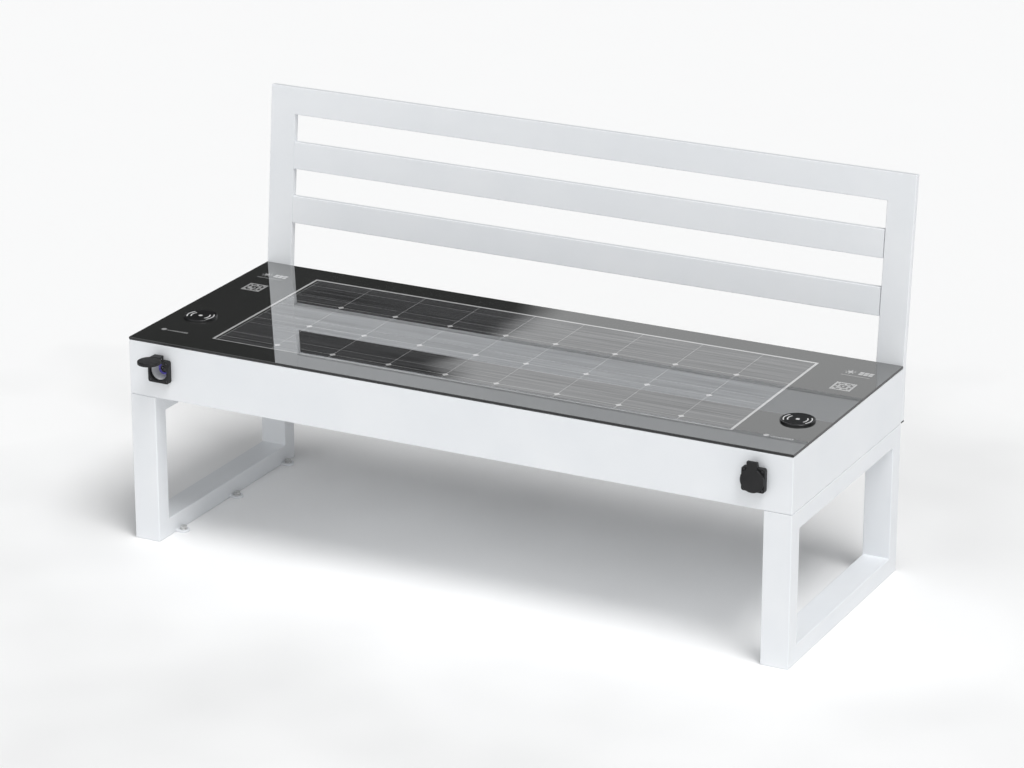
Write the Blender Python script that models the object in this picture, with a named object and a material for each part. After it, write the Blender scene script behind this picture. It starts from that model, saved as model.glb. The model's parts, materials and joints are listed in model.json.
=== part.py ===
"""A solar bench: a powder-coated steel seat box under a glass top with solar cells, carried by two welded leg
frames, with a slatted backrest, two wireless charging discs on the seat and two lidded charging sockets in front.

Metres, +Z up, +X along the bench to the sitter's left, +Y towards the backrest. The origin is on the floor, under
the middle of the bench's overall box, so the open lid in front and the reclined backrest behind count.
"""

import math

import bmesh
import bpy
from mathutils import Matrix, Vector

MM = 0.001
FIT = 0.3 * MM  # gap kept where two pieces touch
RUNNING = 0.07 * MM  # clearance of a hinge pin in its hole
ROUND_STEPS = 32
HOLE_STEPS = 16
THROUGH = 20 * MM  # how far a cutter runs past the faces it cuts

# Driving sizes of the bench
LENGTH = 1500 * MM
DEPTH = 565 * MM
SEAT_HEIGHT = 450 * MM
BACK_HEIGHT = 845 * MM
RECLINE = math.radians(5.2)

# Seat: glass, bonding gasket and folded steel box, from the top down
GLASS_THICKNESS = 5 * MM
GLASS_ARRIS = 0.6 * MM
GASKET_THICKNESS = 0.6 * MM
GASKET_INSET = 1 * MM
BOX_BOTTOM = 325 * MM
BOX_WALL = 2 * MM
BOX_LIP = 20 * MM
LEG_LANDING = 70 * MM  # the lower lip is this wide at the ends, where the leg frames bolt on
LAMINATE_THICKNESS = 3 * MM
CELL_FIELD = (1180 * MM, 436 * MM)
CELL_FIELD_FRONT = 69 * MM

# What the seat box holds. Distances back are from the front panel, heights are above the bottom cover
MEMBER_X = 390 * MM
MEMBER_SIZE = (40 * MM, 30 * MM)
MEMBER_WALL = 2 * MM
BATTERY = {"x": (-310 * MM, -30 * MM), "back": (190 * MM, 370 * MM), "height": 76 * MM, "edge": 4 * MM}
CONTROLLER = {"x": (60 * MM, 250 * MM), "back": (200 * MM, 310 * MM), "height": 48 * MM}
CONTROLLER_FINS = 9
CONTROLLER_FIN_HEIGHT = 18 * MM
JUNCTION = {"x": (-55 * MM, 55 * MM), "back": (400 * MM, 480 * MM), "height": 22 * MM, "edge": 3 * MM}
LOOM_RADIUS = 4 * MM

# Leg frames and backrest
LEG_TUBE = (60 * MM, 40 * MM)  # along the bench, and as seen from the side
LEG_WALL = 2 * MM
POST_WIDTH = 60 * MM
POST_THICKNESS = 15 * MM
POST_WALL = 1.5 * MM
SLAT_PITCH = 120.5 * MM
SLAT_END_GAP = 1 * MM
CAP_THICKNESS = 2.5 * MM
CAP_SPIGOT = 14 * MM
POST_BOLT_RISES = (25 * MM, 90 * MM)  # above the bottom of the seat box

# Floor lugs and their bolts
LUG_FIRST = 77 * MM
LUG_PITCH = 220 * MM
LUG_REACH = 24 * MM
LUG_WIDTH = 26 * MM
LUG_THICKNESS = 5 * MM
LUG_ARC_STEPS = 8
BOLT_RADIUS = 4 * MM
BOLT_CLEARANCE = 0.4 * MM
WASHER = (8.5 * MM, 1.6 * MM)  # radius and thickness
HEXAGON = (7.5 * MM, 5.3 * MM)  # corner radius and height of the bolt head
POST_BOLT_END = -12 * MM  # how far the post bolts reach into the box
POST_BOLT_DOME = [(7 * MM, 0), (6.4 * MM, 2 * MM), (4.4 * MM, 3.6 * MM), (0, 4.4 * MM)]

# Wireless charging discs
CHARGER_X = 683 * MM
CHARGER_BACK = 176 * MM
CHARGER_RADIUS = 35.5 * MM
CHARGER_PROUD = 4 * MM
CHARGER_CHAMFER = 1.2 * MM
CHARGER_BARREL = 28 * MM
CHARGER_BARREL_END = -26 * MM
NUT_RADIUS = 35 * MM
NUT_HEIGHT = 7 * MM

# Charging sockets: depths are measured from the front panel, outwards negative
SOCKET_X = 672 * MM
SOCKET_HEIGHT = 389.5 * MM
FLANGE_SIDE = 49.5 * MM
FLANGE_CORNER = 5 * MM
FLANGE_FRONT = -14 * MM
SOCKET_GASKET = 1.4 * MM
BARREL_RADIUS = 22 * MM
BARREL_END = 27 * MM
BORE_RADIUS = 20.2 * MM
CUP_FRONT = -11 * MM
CUP_END = 9.7 * MM
CUP_MOUTH_RADIUS = 18.6 * MM
CUP_FLOOR_RADIUS = 13.2 * MM
RING_DEPTH = 3 * MM
RING_HOLE_RADIUS = 9 * MM
PORT_SIZE = (12.2 * MM, 4.5 * MM)
PORT_RISE = 3.6 * MM
PORT_DEPTH = 9 * MM
TONGUE_THICKNESS = 1.8 * MM
TONGUE_SIDE_GAP = 0.8 * MM
TONGUE_TOP_GAP = 0.6 * MM
TONGUE_SETBACK = 0.5 * MM
TONGUE_ROOT = 1 * MM  # how far a tongue runs into the port's back wall

# Socket lids and their hinges
HINGE_HEIGHT = 419.5 * MM
HINGE_DEPTH = -16 * MM
KNUCKLE_RADIUS = 5.5 * MM
KNUCKLE_RELIEF = 0.7 * MM
HINGE_WIDTH = 22 * MM
MIDDLE_KNUCKLE = 10 * MM
KNUCKLE_GAP = 0.4 * MM
HINGE_ROOT = 5 * MM  # how far the web that carries the knuckle reaches down into the flange
WEB_SIDE_GAP = 0.3 * MM
WEB_SETBACK = 0.5 * MM  # of the web, behind the flange's front face
WEB_BACK = 5.3 * MM  # of the web, behind the hinge axis
WEB_TOP = -2.5 * MM  # of the web, from the hinge axis, clear of the lid's swing
PIN_END_GAP = 0.3 * MM
PIN_RADIUS = 1.5 * MM
LID_RADIUS = 25 * MM
LID_SEAT_GAP = 0.5 * MM
LID_CHAMFER = 2.2 * MM
LID_TAB_OVERLAP = 8 * MM
LID_TAB_TOP = 9 * MM  # above the hinge axis, with the lid closed
LID_OPEN = math.radians(90)

# Where the bench stands: its overall box runs from the open lid's edge to the top of the backrest
HALF = LENGTH / 2
LID_DROP = HINGE_HEIGHT - SOCKET_HEIGHT + LID_RADIUS
FRONT_REACH = LID_DROP - HINGE_DEPTH
REAR_REACH = (
    DEPTH
    + FIT
    + (BACK_HEIGHT - SEAT_HEIGHT) * math.tan(RECLINE)
    + POST_THICKNESS * math.cos(RECLINE)
)
SEAT_FRONT = (FRONT_REACH - REAR_REACH) / 2
SEAT_BACK = SEAT_FRONT + DEPTH
POST_FRONT = SEAT_BACK + FIT
BACK_LENGTH = (BACK_HEIGHT - SEAT_HEIGHT) / math.cos(RECLINE)  # of the reclined part, along it

GLASS_BOTTOM = SEAT_HEIGHT - GLASS_THICKNESS
BOX_TOP = GLASS_BOTTOM - GASKET_THICKNESS - 2 * FIT
LAMINATE_BOTTOM = GLASS_BOTTOM - FIT - LAMINATE_THICKNESS
SIDES = {"left": -1, "right": 1}


def paint(name, colour, roughness, metallic=0.0):
    """A Principled material with one colour, given as linear red, green and blue."""
    material = bpy.data.materials.new(name)
    material.use_nodes = True
    shader = material.node_tree.nodes["Principled BSDF"]
    shader.inputs["Base Color"].default_value = (*colour, 1)
    shader.inputs["Roughness"].default_value = roughness
    shader.inputs["Metallic"].default_value = metallic
    material.diffuse_color = (*colour, 1)
    return material


def add(name, form, material=None):
    """Puts a bmesh into the scene as one object."""
    bmesh.ops.recalc_face_normals(form, faces=form.faces)
    mesh = bpy.data.meshes.new(name)
    form.to_mesh(mesh)
    form.free()
    mesh.shade_smooth()
    mesh.set_sharp_from_angle(angle=math.radians(30))
    if material:
        mesh.materials.append(material)
    thing = bpy.data.objects.new(name, mesh)
    bpy.context.scene.collection.objects.link(thing)
    return thing


def block(name, x, y, z, material=None):
    """A box between the two ends given on each axis."""
    low, high = Vector((x[0], y[0], z[0])), Vector((x[1], y[1], z[1]))
    form = bmesh.new()
    place = Matrix.Translation((low + high) / 2) @ Matrix.Diagonal((*(high - low), 1))
    bmesh.ops.create_cube(form, size=1, matrix=place)
    return add(name, form, material)


def prism(name, outline, axis, ends, material=None):
    """An outline in the plane across an axis, drawn out between two places on that axis."""
    order = {"x": (2, 0, 1), "y": (0, 2, 1), "z": (0, 1, 2)}[axis]
    form = bmesh.new()
    near = [form.verts.new([(*point, ends[0])[i] for i in order]) for point in outline]
    face = form.faces.new(near)
    drawn = bmesh.ops.extrude_face_region(form, geom=[face])["geom"]
    step = Vector([(0, 0, ends[1] - ends[0])[i] for i in order])
    moved = [part for part in drawn if isinstance(part, bmesh.types.BMVert)]
    bmesh.ops.translate(form, verts=moved, vec=step)
    return add(name, form, material)


def turned(name, profile, centre, axis, material=None, steps=ROUND_STEPS):
    """A profile of (radius, place along the axis) turned about the axis through the centre.

    A profile that starts and ends on the axis makes a disc or a shaft, and any other one is closed into a ring.
    """
    along = {"x": Vector((1, 0, 0)), "y": Vector((0, 1, 0)), "z": Vector((0, 0, 1))}[axis]
    out = {"x": Vector((0, 1, 0)), "y": Vector((0, 0, 1)), "z": Vector((1, 0, 0))}[axis]
    form = bmesh.new()
    points = [form.verts.new(Vector(centre) + out * r + along * h) for r, h in profile]
    pairs = list(zip(points, points[1:]))
    if profile[0][0] > 0:
        pairs.append((points[-1], points[0]))
    edges = [form.edges.new(pair) for pair in pairs]
    bmesh.ops.spin(
        form, geom=points + edges, cent=centre, axis=along, angle=math.tau, steps=steps, use_merge=True
    )
    bmesh.ops.remove_doubles(form, verts=form.verts, dist=0.001 * MM)
    return add(name, form, material)


def shaft(name, radius, ends, centre, axis, material=None, steps=ROUND_STEPS):
    """A plain round bar between two places along an axis, counted from its centre."""
    profile = [(0, ends[0]), (radius, ends[0]), (radius, ends[1]), (0, ends[1])]
    return turned(name, profile, centre, axis, material, steps)


def boolean(target, tool, operation):
    tool.hide_render = True
    tool.display_type = "WIRE"
    step = target.modifiers.new(tool.name, "BOOLEAN")
    step.operation = operation
    step.solver = "EXACT"
    step.object = tool


def cut(target, *tools):
    for tool in tools:
        boolean(target, tool, "DIFFERENCE")


def join(target, *tools):
    for tool in tools:
        boolean(target, tool, "UNION")


def bevel(thing, width, segments=2):
    step = thing.modifiers.new("bevel", "BEVEL")
    step.width = width
    step.segments = segments
    step.limit_method = "ANGLE"


def rounded_square(side, corner, centre, steps=4):
    """The outline of a square with round corners."""
    inner = side / 2 - corner
    outline = []
    for quarter in range(4):
        middle = math.radians(45 + 90 * quarter)
        cx = centre[0] + math.copysign(inner, math.cos(middle))
        cz = centre[1] + math.copysign(inner, math.sin(middle))
        for step in range(steps + 1):
            angle = math.radians(90) * (quarter + step / steps)
            outline.append((cx + corner * math.cos(angle), cz + corner * math.sin(angle)))
    return outline


def from_front(depth):
    """A place on Y, given its depth behind the front panel."""
    return SEAT_FRONT + depth


def build_seat(paints):
    """The folded steel box, its cover below, and the bonded glass with the cell laminate under it."""
    box = block("seat_box", (-HALF, HALF), (SEAT_FRONT, SEAT_BACK), (BOX_BOTTOM, BOX_TOP), paints["coat"])
    room = block(
        "box_room",
        (-HALF + BOX_WALL, HALF - BOX_WALL),
        (SEAT_FRONT + BOX_WALL, SEAT_BACK - BOX_WALL),
        (BOX_BOTTOM + BOX_WALL, BOX_TOP - BOX_WALL),
    )
    opening_below = block(
        "box_opening_below",
        (-HALF + LEG_LANDING, HALF - LEG_LANDING),
        (SEAT_FRONT + BOX_LIP, SEAT_BACK - BOX_LIP),
        (BOX_BOTTOM - THROUGH, BOX_BOTTOM + THROUGH),
    )
    opening_above = block(
        "box_opening_above",
        (-HALF + BOX_LIP, HALF - BOX_LIP),
        (SEAT_FRONT + BOX_LIP, SEAT_BACK - BOX_LIP),
        (BOX_TOP - THROUGH, BOX_TOP + THROUGH),
    )
    cut(box, room, opening_below, opening_above)
    for side, sign in SIDES.items():
        centre = (sign * SOCKET_X, SEAT_FRONT, SOCKET_HEIGHT)
        hole = shaft(f"{side}_socket_hole", BARREL_RADIUS + FIT, (-THROUGH, THROUGH), centre, "y")
        cut(box, hole)

    cover_edge = BOX_WALL + 2 * FIT
    block(
        "bottom_cover",
        (-HALF + cover_edge, HALF - cover_edge),
        (SEAT_FRONT + cover_edge, SEAT_BACK - cover_edge),
        (BOX_BOTTOM + BOX_WALL + FIT, BOX_BOTTOM + 2 * BOX_WALL + FIT),
        paints["coat"],
    )

    gasket = block(
        "glass_gasket",
        (-HALF + GASKET_INSET, HALF - GASKET_INSET),
        (SEAT_FRONT + GASKET_INSET, SEAT_BACK - GASKET_INSET),
        (BOX_TOP + FIT, BOX_TOP + FIT + GASKET_THICKNESS),
        paints["rubber"],
    )
    cut(
        gasket,
        block(
            "gasket_opening",
            (-HALF + BOX_LIP, HALF - BOX_LIP),
            (SEAT_FRONT + BOX_LIP, SEAT_BACK - BOX_LIP),
            (BOX_TOP - THROUGH, BOX_TOP + THROUGH),
        ),
    )

    glass = block(
        "glass_top",
        (-HALF, HALF),
        (SEAT_FRONT, SEAT_BACK),
        (GLASS_BOTTOM, SEAT_HEIGHT),
        paints["glass"],
    )
    bevel(glass, GLASS_ARRIS, 1)
    for side, sign in SIDES.items():
        centre = (sign * CHARGER_X, from_front(CHARGER_BACK), GLASS_BOTTOM)
        hole = shaft(f"{side}_charger_hole", CHARGER_BARREL + BOLT_CLEARANCE, (-THROUGH, THROUGH), centre, "z")
        cut(glass, hole)

    half_field = CELL_FIELD[0] / 2
    field_front = from_front(CELL_FIELD_FRONT)
    block(
        "pv_laminate",
        (-half_field, half_field),
        (field_front, field_front + CELL_FIELD[1]),
        (LAMINATE_BOTTOM, LAMINATE_BOTTOM + LAMINATE_THICKNESS),
        paints["cells"],
    )


def build_inside(paints):
    """What the seat box holds: cross members, battery, charge controller, junction box and wiring."""
    half_width, member_height = MEMBER_SIZE[0] / 2, MEMBER_SIZE[1]
    half_bore = half_width - MEMBER_WALL
    top = BOX_TOP - BOX_WALL - FIT
    wall = BOX_WALL + FIT
    for side, sign in SIDES.items():
        x = sign * MEMBER_X
        member = block(
            f"cross_member_{side}",
            (x - half_width, x + half_width),
            (SEAT_FRONT + wall, SEAT_BACK - wall),
            (top - member_height, top),
            paints["steel"],
        )
        bore = block(
            f"cross_member_{side}_bore",
            (x - half_bore, x + half_bore),
            (SEAT_FRONT - THROUGH, SEAT_BACK + THROUGH),
            (top - member_height + MEMBER_WALL, top - MEMBER_WALL),
        )
        cut(member, bore)

    floor = BOX_BOTTOM + 2 * BOX_WALL + 2 * FIT
    battery_y = [from_front(depth) for depth in BATTERY["back"]]
    battery_z = (floor, floor + BATTERY["height"])
    battery = block("battery_pack", BATTERY["x"], battery_y, battery_z, paints["case"])
    bevel(battery, BATTERY["edge"])

    low_x, high_x = CONTROLLER["x"]
    low_y, high_y = [from_front(depth) for depth in CONTROLLER["back"]]
    controller_top = floor + CONTROLLER["height"]
    controller = block(
        "charge_controller", (low_x, high_x), (low_y, high_y), (floor, controller_top), paints["alloy"]
    )
    pitch = (high_x - low_x) / (CONTROLLER_FINS + 0.5)
    for fin in range(CONTROLLER_FINS):
        start = low_x + pitch * (fin + 0.5)
        slot = block(
            f"controller_slot_{fin}",
            (start, start + pitch / 2),
            (low_y - THROUGH, high_y + THROUGH),
            (controller_top - CONTROLLER_FIN_HEIGHT, controller_top + THROUGH),
        )
        cut(controller, slot)

    junction_y = [from_front(depth) for depth in JUNCTION["back"]]
    junction_z = (top - JUNCTION["height"], top)
    junction = block("junction_box", JUNCTION["x"], junction_y, junction_z, paints["case"])
    bevel(junction, JUNCTION["edge"])
    build_loom(paints)


def build_loom(paints):
    """The trunk of the wiring: it runs from socket to socket along the front of the box."""
    loom = bpy.data.curves.new("wiring_loom", "CURVE")
    loom.dimensions = "3D"
    loom.bevel_depth = LOOM_RADIUS
    loom.bevel_resolution = 2
    loom.use_fill_caps = True
    loom.resolution_u = 5
    half_route = (  # distance from the bench's middle, depth behind the front panel, height
        (SOCKET_X, BARREL_END + 3 * MM, SOCKET_HEIGHT),
        (SOCKET_X - 40 * MM, 70 * MM, 375 * MM),
        (SOCKET_X - 120 * MM, 85 * MM, 352 * MM),
        (260 * MM, 120 * MM, 345 * MM),
    )
    points = [(-x, y, z) for x, y, z in half_route] + list(reversed(half_route))
    spline = loom.splines.new("BEZIER")
    spline.bezier_points.add(len(points) - 1)
    for knot, (x, y, z) in zip(spline.bezier_points, points):
        knot.co = (x, from_front(y), z)
        knot.handle_left_type = knot.handle_right_type = "AUTO"
    loom.materials.append(paints["rubber"])
    bpy.context.scene.collection.objects.link(bpy.data.objects.new("wiring_loom", loom))


def build_charger(side, sign, paints):
    """A wireless charging disc whose threaded barrel passes through the glass to a ring nut below."""
    centre = (sign * CHARGER_X, from_front(CHARGER_BACK), SEAT_HEIGHT)
    rim, barrel = CHARGER_RADIUS, CHARGER_BARREL
    turned(
        f"charger_{side}",
        [
            (0, CHARGER_PROUD),
            (rim - CHARGER_CHAMFER, CHARGER_PROUD),
            (rim, CHARGER_PROUD - CHARGER_CHAMFER),
            (rim, FIT),
            (barrel, FIT),
            (barrel, CHARGER_BARREL_END),
            (0, CHARGER_BARREL_END),
        ],
        centre,
        "z",
        paints["plastic"],
    )
    nut_top = -GLASS_THICKNESS - FIT
    turned(
        f"charger_nut_{side}",
        [
            (barrel + FIT, nut_top),
            (NUT_RADIUS, nut_top),
            (NUT_RADIUS, nut_top - NUT_HEIGHT),
            (barrel + FIT, nut_top - NUT_HEIGHT),
        ],
        centre,
        "z",
        paints["plastic"],
    )


def build_socket(side, sign, paints):
    """A square-flanged socket: gasket, housing with half of the hinge, cup, light ring and port module."""
    x = sign * SOCKET_X
    centre = (x, SEAT_FRONT, SOCKET_HEIGHT)
    hinge = (x, from_front(HINGE_DEPTH), HINGE_HEIGHT)
    flange_back = -SOCKET_GASKET - 2 * FIT

    gasket = prism(
        f"socket_gasket_{side}",
        rounded_square(FLANGE_SIDE - 2 * MM, FLANGE_CORNER, (x, SOCKET_HEIGHT)),
        "y",
        (from_front(-FIT - SOCKET_GASKET), from_front(-FIT)),
        paints["rubber"],
    )
    cut(gasket, shaft(f"gasket_hole_{side}", BARREL_RADIUS + FIT, (-THROUGH, THROUGH), centre, "y"))

    housing = prism(
        f"socket_housing_{side}",
        rounded_square(FLANGE_SIDE, FLANGE_CORNER, (x, SOCKET_HEIGHT)),
        "y",
        (from_front(FLANGE_FRONT), from_front(flange_back)),
        paints["plastic"],
    )
    barrel_start = FLANGE_FRONT / 2
    barrel = shaft(f"socket_barrel_{side}", BARREL_RADIUS, (barrel_start, BARREL_END), centre, "y")
    root_height = SOCKET_HEIGHT + FLANGE_SIDE / 2 - HINGE_ROOT
    half_middle = MIDDLE_KNUCKLE / 2
    half_web = half_middle - WEB_SIDE_GAP
    web_ends = (from_front(FLANGE_FRONT + WEB_SETBACK), from_front(HINGE_DEPTH + WEB_BACK))
    web = block(
        f"hinge_web_{side}", (x - half_web, x + half_web), web_ends, (root_height, HINGE_HEIGHT + WEB_TOP)
    )
    knuckle = shaft(f"hinge_knuckle_{side}", KNUCKLE_RADIUS, (-half_middle, half_middle), hinge, "x")
    join(housing, barrel, web, knuckle)
    pin_hole = shaft(
        f"housing_pin_hole_{side}", PIN_RADIUS + RUNNING, (-THROUGH, THROUGH), hinge, "x", None, HOLE_STEPS
    )
    bore = shaft(f"socket_bore_{side}", BORE_RADIUS, (-2 * THROUGH, 2 * THROUGH), centre, "y")
    cut(housing, pin_hole, bore)

    insert_radius = BORE_RADIUS - FIT
    turned(
        f"socket_cup_{side}",
        [
            (CUP_MOUTH_RADIUS, CUP_FRONT),
            (insert_radius, CUP_FRONT),
            (insert_radius, CUP_END),
            (CUP_FLOOR_RADIUS, CUP_END),
        ],
        centre,
        "y",
        paints["cup"],
    )
    ring_front = CUP_END + FIT
    turned(
        f"light_ring_{side}",
        [
            (RING_HOLE_RADIUS, ring_front),
            (insert_radius, ring_front),
            (insert_radius, ring_front + RING_DEPTH),
            (RING_HOLE_RADIUS, ring_front + RING_DEPTH),
        ],
        centre,
        "y",
        paints["light"],
    )
    face = ring_front
    body_front = ring_front + RING_DEPTH + FIT
    boss_radius = RING_HOLE_RADIUS - FIT
    module = turned(
        f"port_module_{side}",
        [
            (0, face),
            (boss_radius, face),
            (boss_radius, body_front),
            (insert_radius, body_front),
            (insert_radius, BARREL_END),
            (0, BARREL_END),
        ],
        centre,
        "y",
        paints["plastic"],
    )
    for level, rise in (("upper", PORT_RISE), ("lower", -PORT_RISE)):
        z = SOCKET_HEIGHT + rise
        port = block(
            f"port_{level}_{side}",
            (x - PORT_SIZE[0] / 2, x + PORT_SIZE[0] / 2),
            (from_front(face - THROUGH), from_front(face + PORT_DEPTH)),
            (z - PORT_SIZE[1] / 2, z + PORT_SIZE[1] / 2),
        )
        half_tongue = PORT_SIZE[0] / 2 - TONGUE_SIDE_GAP
        tongue_top = z + PORT_SIZE[1] / 2 - TONGUE_TOP_GAP
        tongue = block(
            f"tongue_{level}_{side}",
            (x - half_tongue, x + half_tongue),
            (from_front(face + TONGUE_SETBACK), from_front(face + PORT_DEPTH + TONGUE_ROOT)),
            (tongue_top - TONGUE_THICKNESS, tongue_top),
        )
        cut(module, port)
        join(module, tongue)

    half_pin = HINGE_WIDTH / 2 - PIN_END_GAP
    shaft(f"hinge_pin_{side}", PIN_RADIUS, (-half_pin, half_pin), hinge, "x", paints["steel"], HOLE_STEPS)


def build_lid(side, sign, swing, paints):
    """A round lid on two knuckles, made closed with its origin on the hinge axis, then swung up about it."""
    inner = FLANGE_FRONT - LID_SEAT_GAP - HINGE_DEPTH
    outer = -KNUCKLE_RADIUS
    disc_centre = (0, 0, SOCKET_HEIGHT - HINGE_HEIGHT)
    lid = turned(
        f"lid_{side}",
        [
            (0, inner),
            (LID_RADIUS, inner),
            (LID_RADIUS, outer + LID_CHAMFER),
            (LID_RADIUS - LID_CHAMFER, outer),
            (0, outer),
        ],
        disc_centre,
        "y",
        paints["plastic"],
    )
    half = HINGE_WIDTH / 2
    tab_end = disc_centre[2] + LID_RADIUS - LID_TAB_OVERLAP
    tab = block(f"lid_tab_{side}", (-half, half), (outer, inner), (tab_end, LID_TAB_TOP))
    knuckle = shaft(f"lid_knuckle_{side}", KNUCKLE_RADIUS, (-half, half), (0, 0, 0), "x")
    join(lid, tab, knuckle)
    notch = MIDDLE_KNUCKLE / 2 + KNUCKLE_GAP
    relief = shaft(
        f"lid_notch_{side}", KNUCKLE_RADIUS + KNUCKLE_RELIEF, (-notch, notch), (0, 0, 0), "x"
    )
    pin_hole = shaft(
        f"lid_pin_hole_{side}", PIN_RADIUS + RUNNING, (-THROUGH, THROUGH), (0, 0, 0), "x", None, HOLE_STEPS
    )
    cut(lid, relief, pin_hole)
    for tool in (tab, knuckle, relief, pin_hole):
        tool.parent = lid
    lid.location = (sign * SOCKET_X, from_front(HINGE_DEPTH), HINGE_HEIGHT)
    lid.rotation_euler = (-swing, 0, 0)


def build_leg_frame(side, sign, paints):
    """A ring of four mitred tubes. The mitre gaps stand for the welds."""
    width, depth = LEG_TUBE
    x = sorted((sign * HALF, sign * (HALF - width)))
    bore_x = (x[0] + LEG_WALL, x[1] - LEG_WALL)
    top = BOX_BOTTOM - FIT
    gap = FIT * math.sqrt(2)
    front, back = SEAT_FRONT, SEAT_BACK
    bars = {
        "foot": (
            [(front, 0), (back, 0), (back - depth, depth), (front + depth, depth)],
            ((front - THROUGH, back + THROUGH), (LEG_WALL, depth - LEG_WALL)),
        ),
        "top": (
            [(front, top), (back, top), (back - depth, top - depth), (front + depth, top - depth)],
            ((front - THROUGH, back + THROUGH), (top - depth + LEG_WALL, top - LEG_WALL)),
        ),
        "front": (
            [(front, gap), (front + depth, depth + gap), (front + depth, top - depth - gap), (front, top - gap)],
            ((front + LEG_WALL, front + depth - LEG_WALL), (-THROUGH, top + THROUGH)),
        ),
        "rear": (
            [(back, gap), (back - depth, depth + gap), (back - depth, top - depth - gap), (back, top - gap)],
            ((back - depth + LEG_WALL, back - LEG_WALL), (-THROUGH, top + THROUGH)),
        ),
    }
    for bar, (outline, (bore_y, bore_z)) in bars.items():
        tube = prism(f"leg_{side}_{bar}", outline, "x", x, paints["coat"])
        cut(tube, block(f"leg_{side}_{bar}_bore", bore_x, bore_y, bore_z))


def build_floor_lugs(side, sign, paints):
    """Three drilled lugs on the inner foot of each leg frame, with a hexagon bolt through each."""
    names = ("front", "middle", "rear")
    foot = HALF - LEG_TUBE[0] - FIT
    round_centre = foot - LUG_REACH + LUG_WIDTH / 2
    radius = LUG_WIDTH / 2
    head_radius, head_height = HEXAGON
    washer_radius, washer_thickness = WASHER
    for index, place in enumerate(names):
        y = from_front(LUG_FIRST + LUG_PITCH * index)
        outline = [(sign * foot, y - radius), (sign * foot, y + radius)]
        for step in range(LUG_ARC_STEPS + 1):
            angle = math.radians(90 - 180 * step / LUG_ARC_STEPS)
            outline.append((sign * (round_centre - radius * math.cos(angle)), y + radius * math.sin(angle)))
        lug = prism(f"lug_{side}_{place}", outline, "z", (0, LUG_THICKNESS), paints["coat"])
        centre = (sign * round_centre, y, 0)
        hole_name, hole_radius = f"lug_hole_{side}_{place}", BOLT_RADIUS + BOLT_CLEARANCE
        cut(lug, shaft(hole_name, hole_radius, (-THROUGH, THROUGH), centre, "z", None, HOLE_STEPS))

        seat = LUG_THICKNESS + FIT
        bolt = turned(
            f"anchor_bolt_{side}_{place}",
            [
                (0, FIT),
                (BOLT_RADIUS, FIT),
                (BOLT_RADIUS, seat),
                (washer_radius, seat),
                (washer_radius, seat + washer_thickness),
                (0, seat + washer_thickness),
            ],
            centre,
            "z",
            paints["zinc"],
            HOLE_STEPS,
        )
        corners = [math.radians(60 * corner) for corner in range(6)]
        hexagon = [
            (centre[0] + head_radius * math.cos(angle), y + head_radius * math.sin(angle)) for angle in corners
        ]
        head_top = seat + washer_thickness + head_height
        head = prism(f"bolt_head_{side}_{place}", hexagon, "z", (seat + washer_thickness / 2, head_top))
        join(bolt, head)


def reclined(thing):
    """Moves a piece drawn upright from (x, thickness, distance along the recline) into its reclined place."""
    thing.location = (0, POST_FRONT, SEAT_HEIGHT)
    thing.rotation_euler = (-RECLINE, 0, 0)


def post_outline(inset, bottom, top):
    """The side view of a bent post: upright behind the seat box, then reclined from the seat up."""
    lean, rise = math.sin(RECLINE), math.cos(RECLINE)
    bend = math.tan(RECLINE / 2)  # where two lines at the recline angle meet, for each unit of offset
    near, far = inset, POST_THICKNESS - inset

    def at(offset, along):
        return (POST_FRONT + offset * rise + along * lean, SEAT_HEIGHT - offset * lean + along * rise)

    return [
        (POST_FRONT + near, bottom),
        (POST_FRONT + far, bottom),
        (POST_FRONT + far, SEAT_HEIGHT - far * bend),
        at(far, top),
        at(near, top),
        (POST_FRONT + near, SEAT_HEIGHT - near * bend),
    ]


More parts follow.
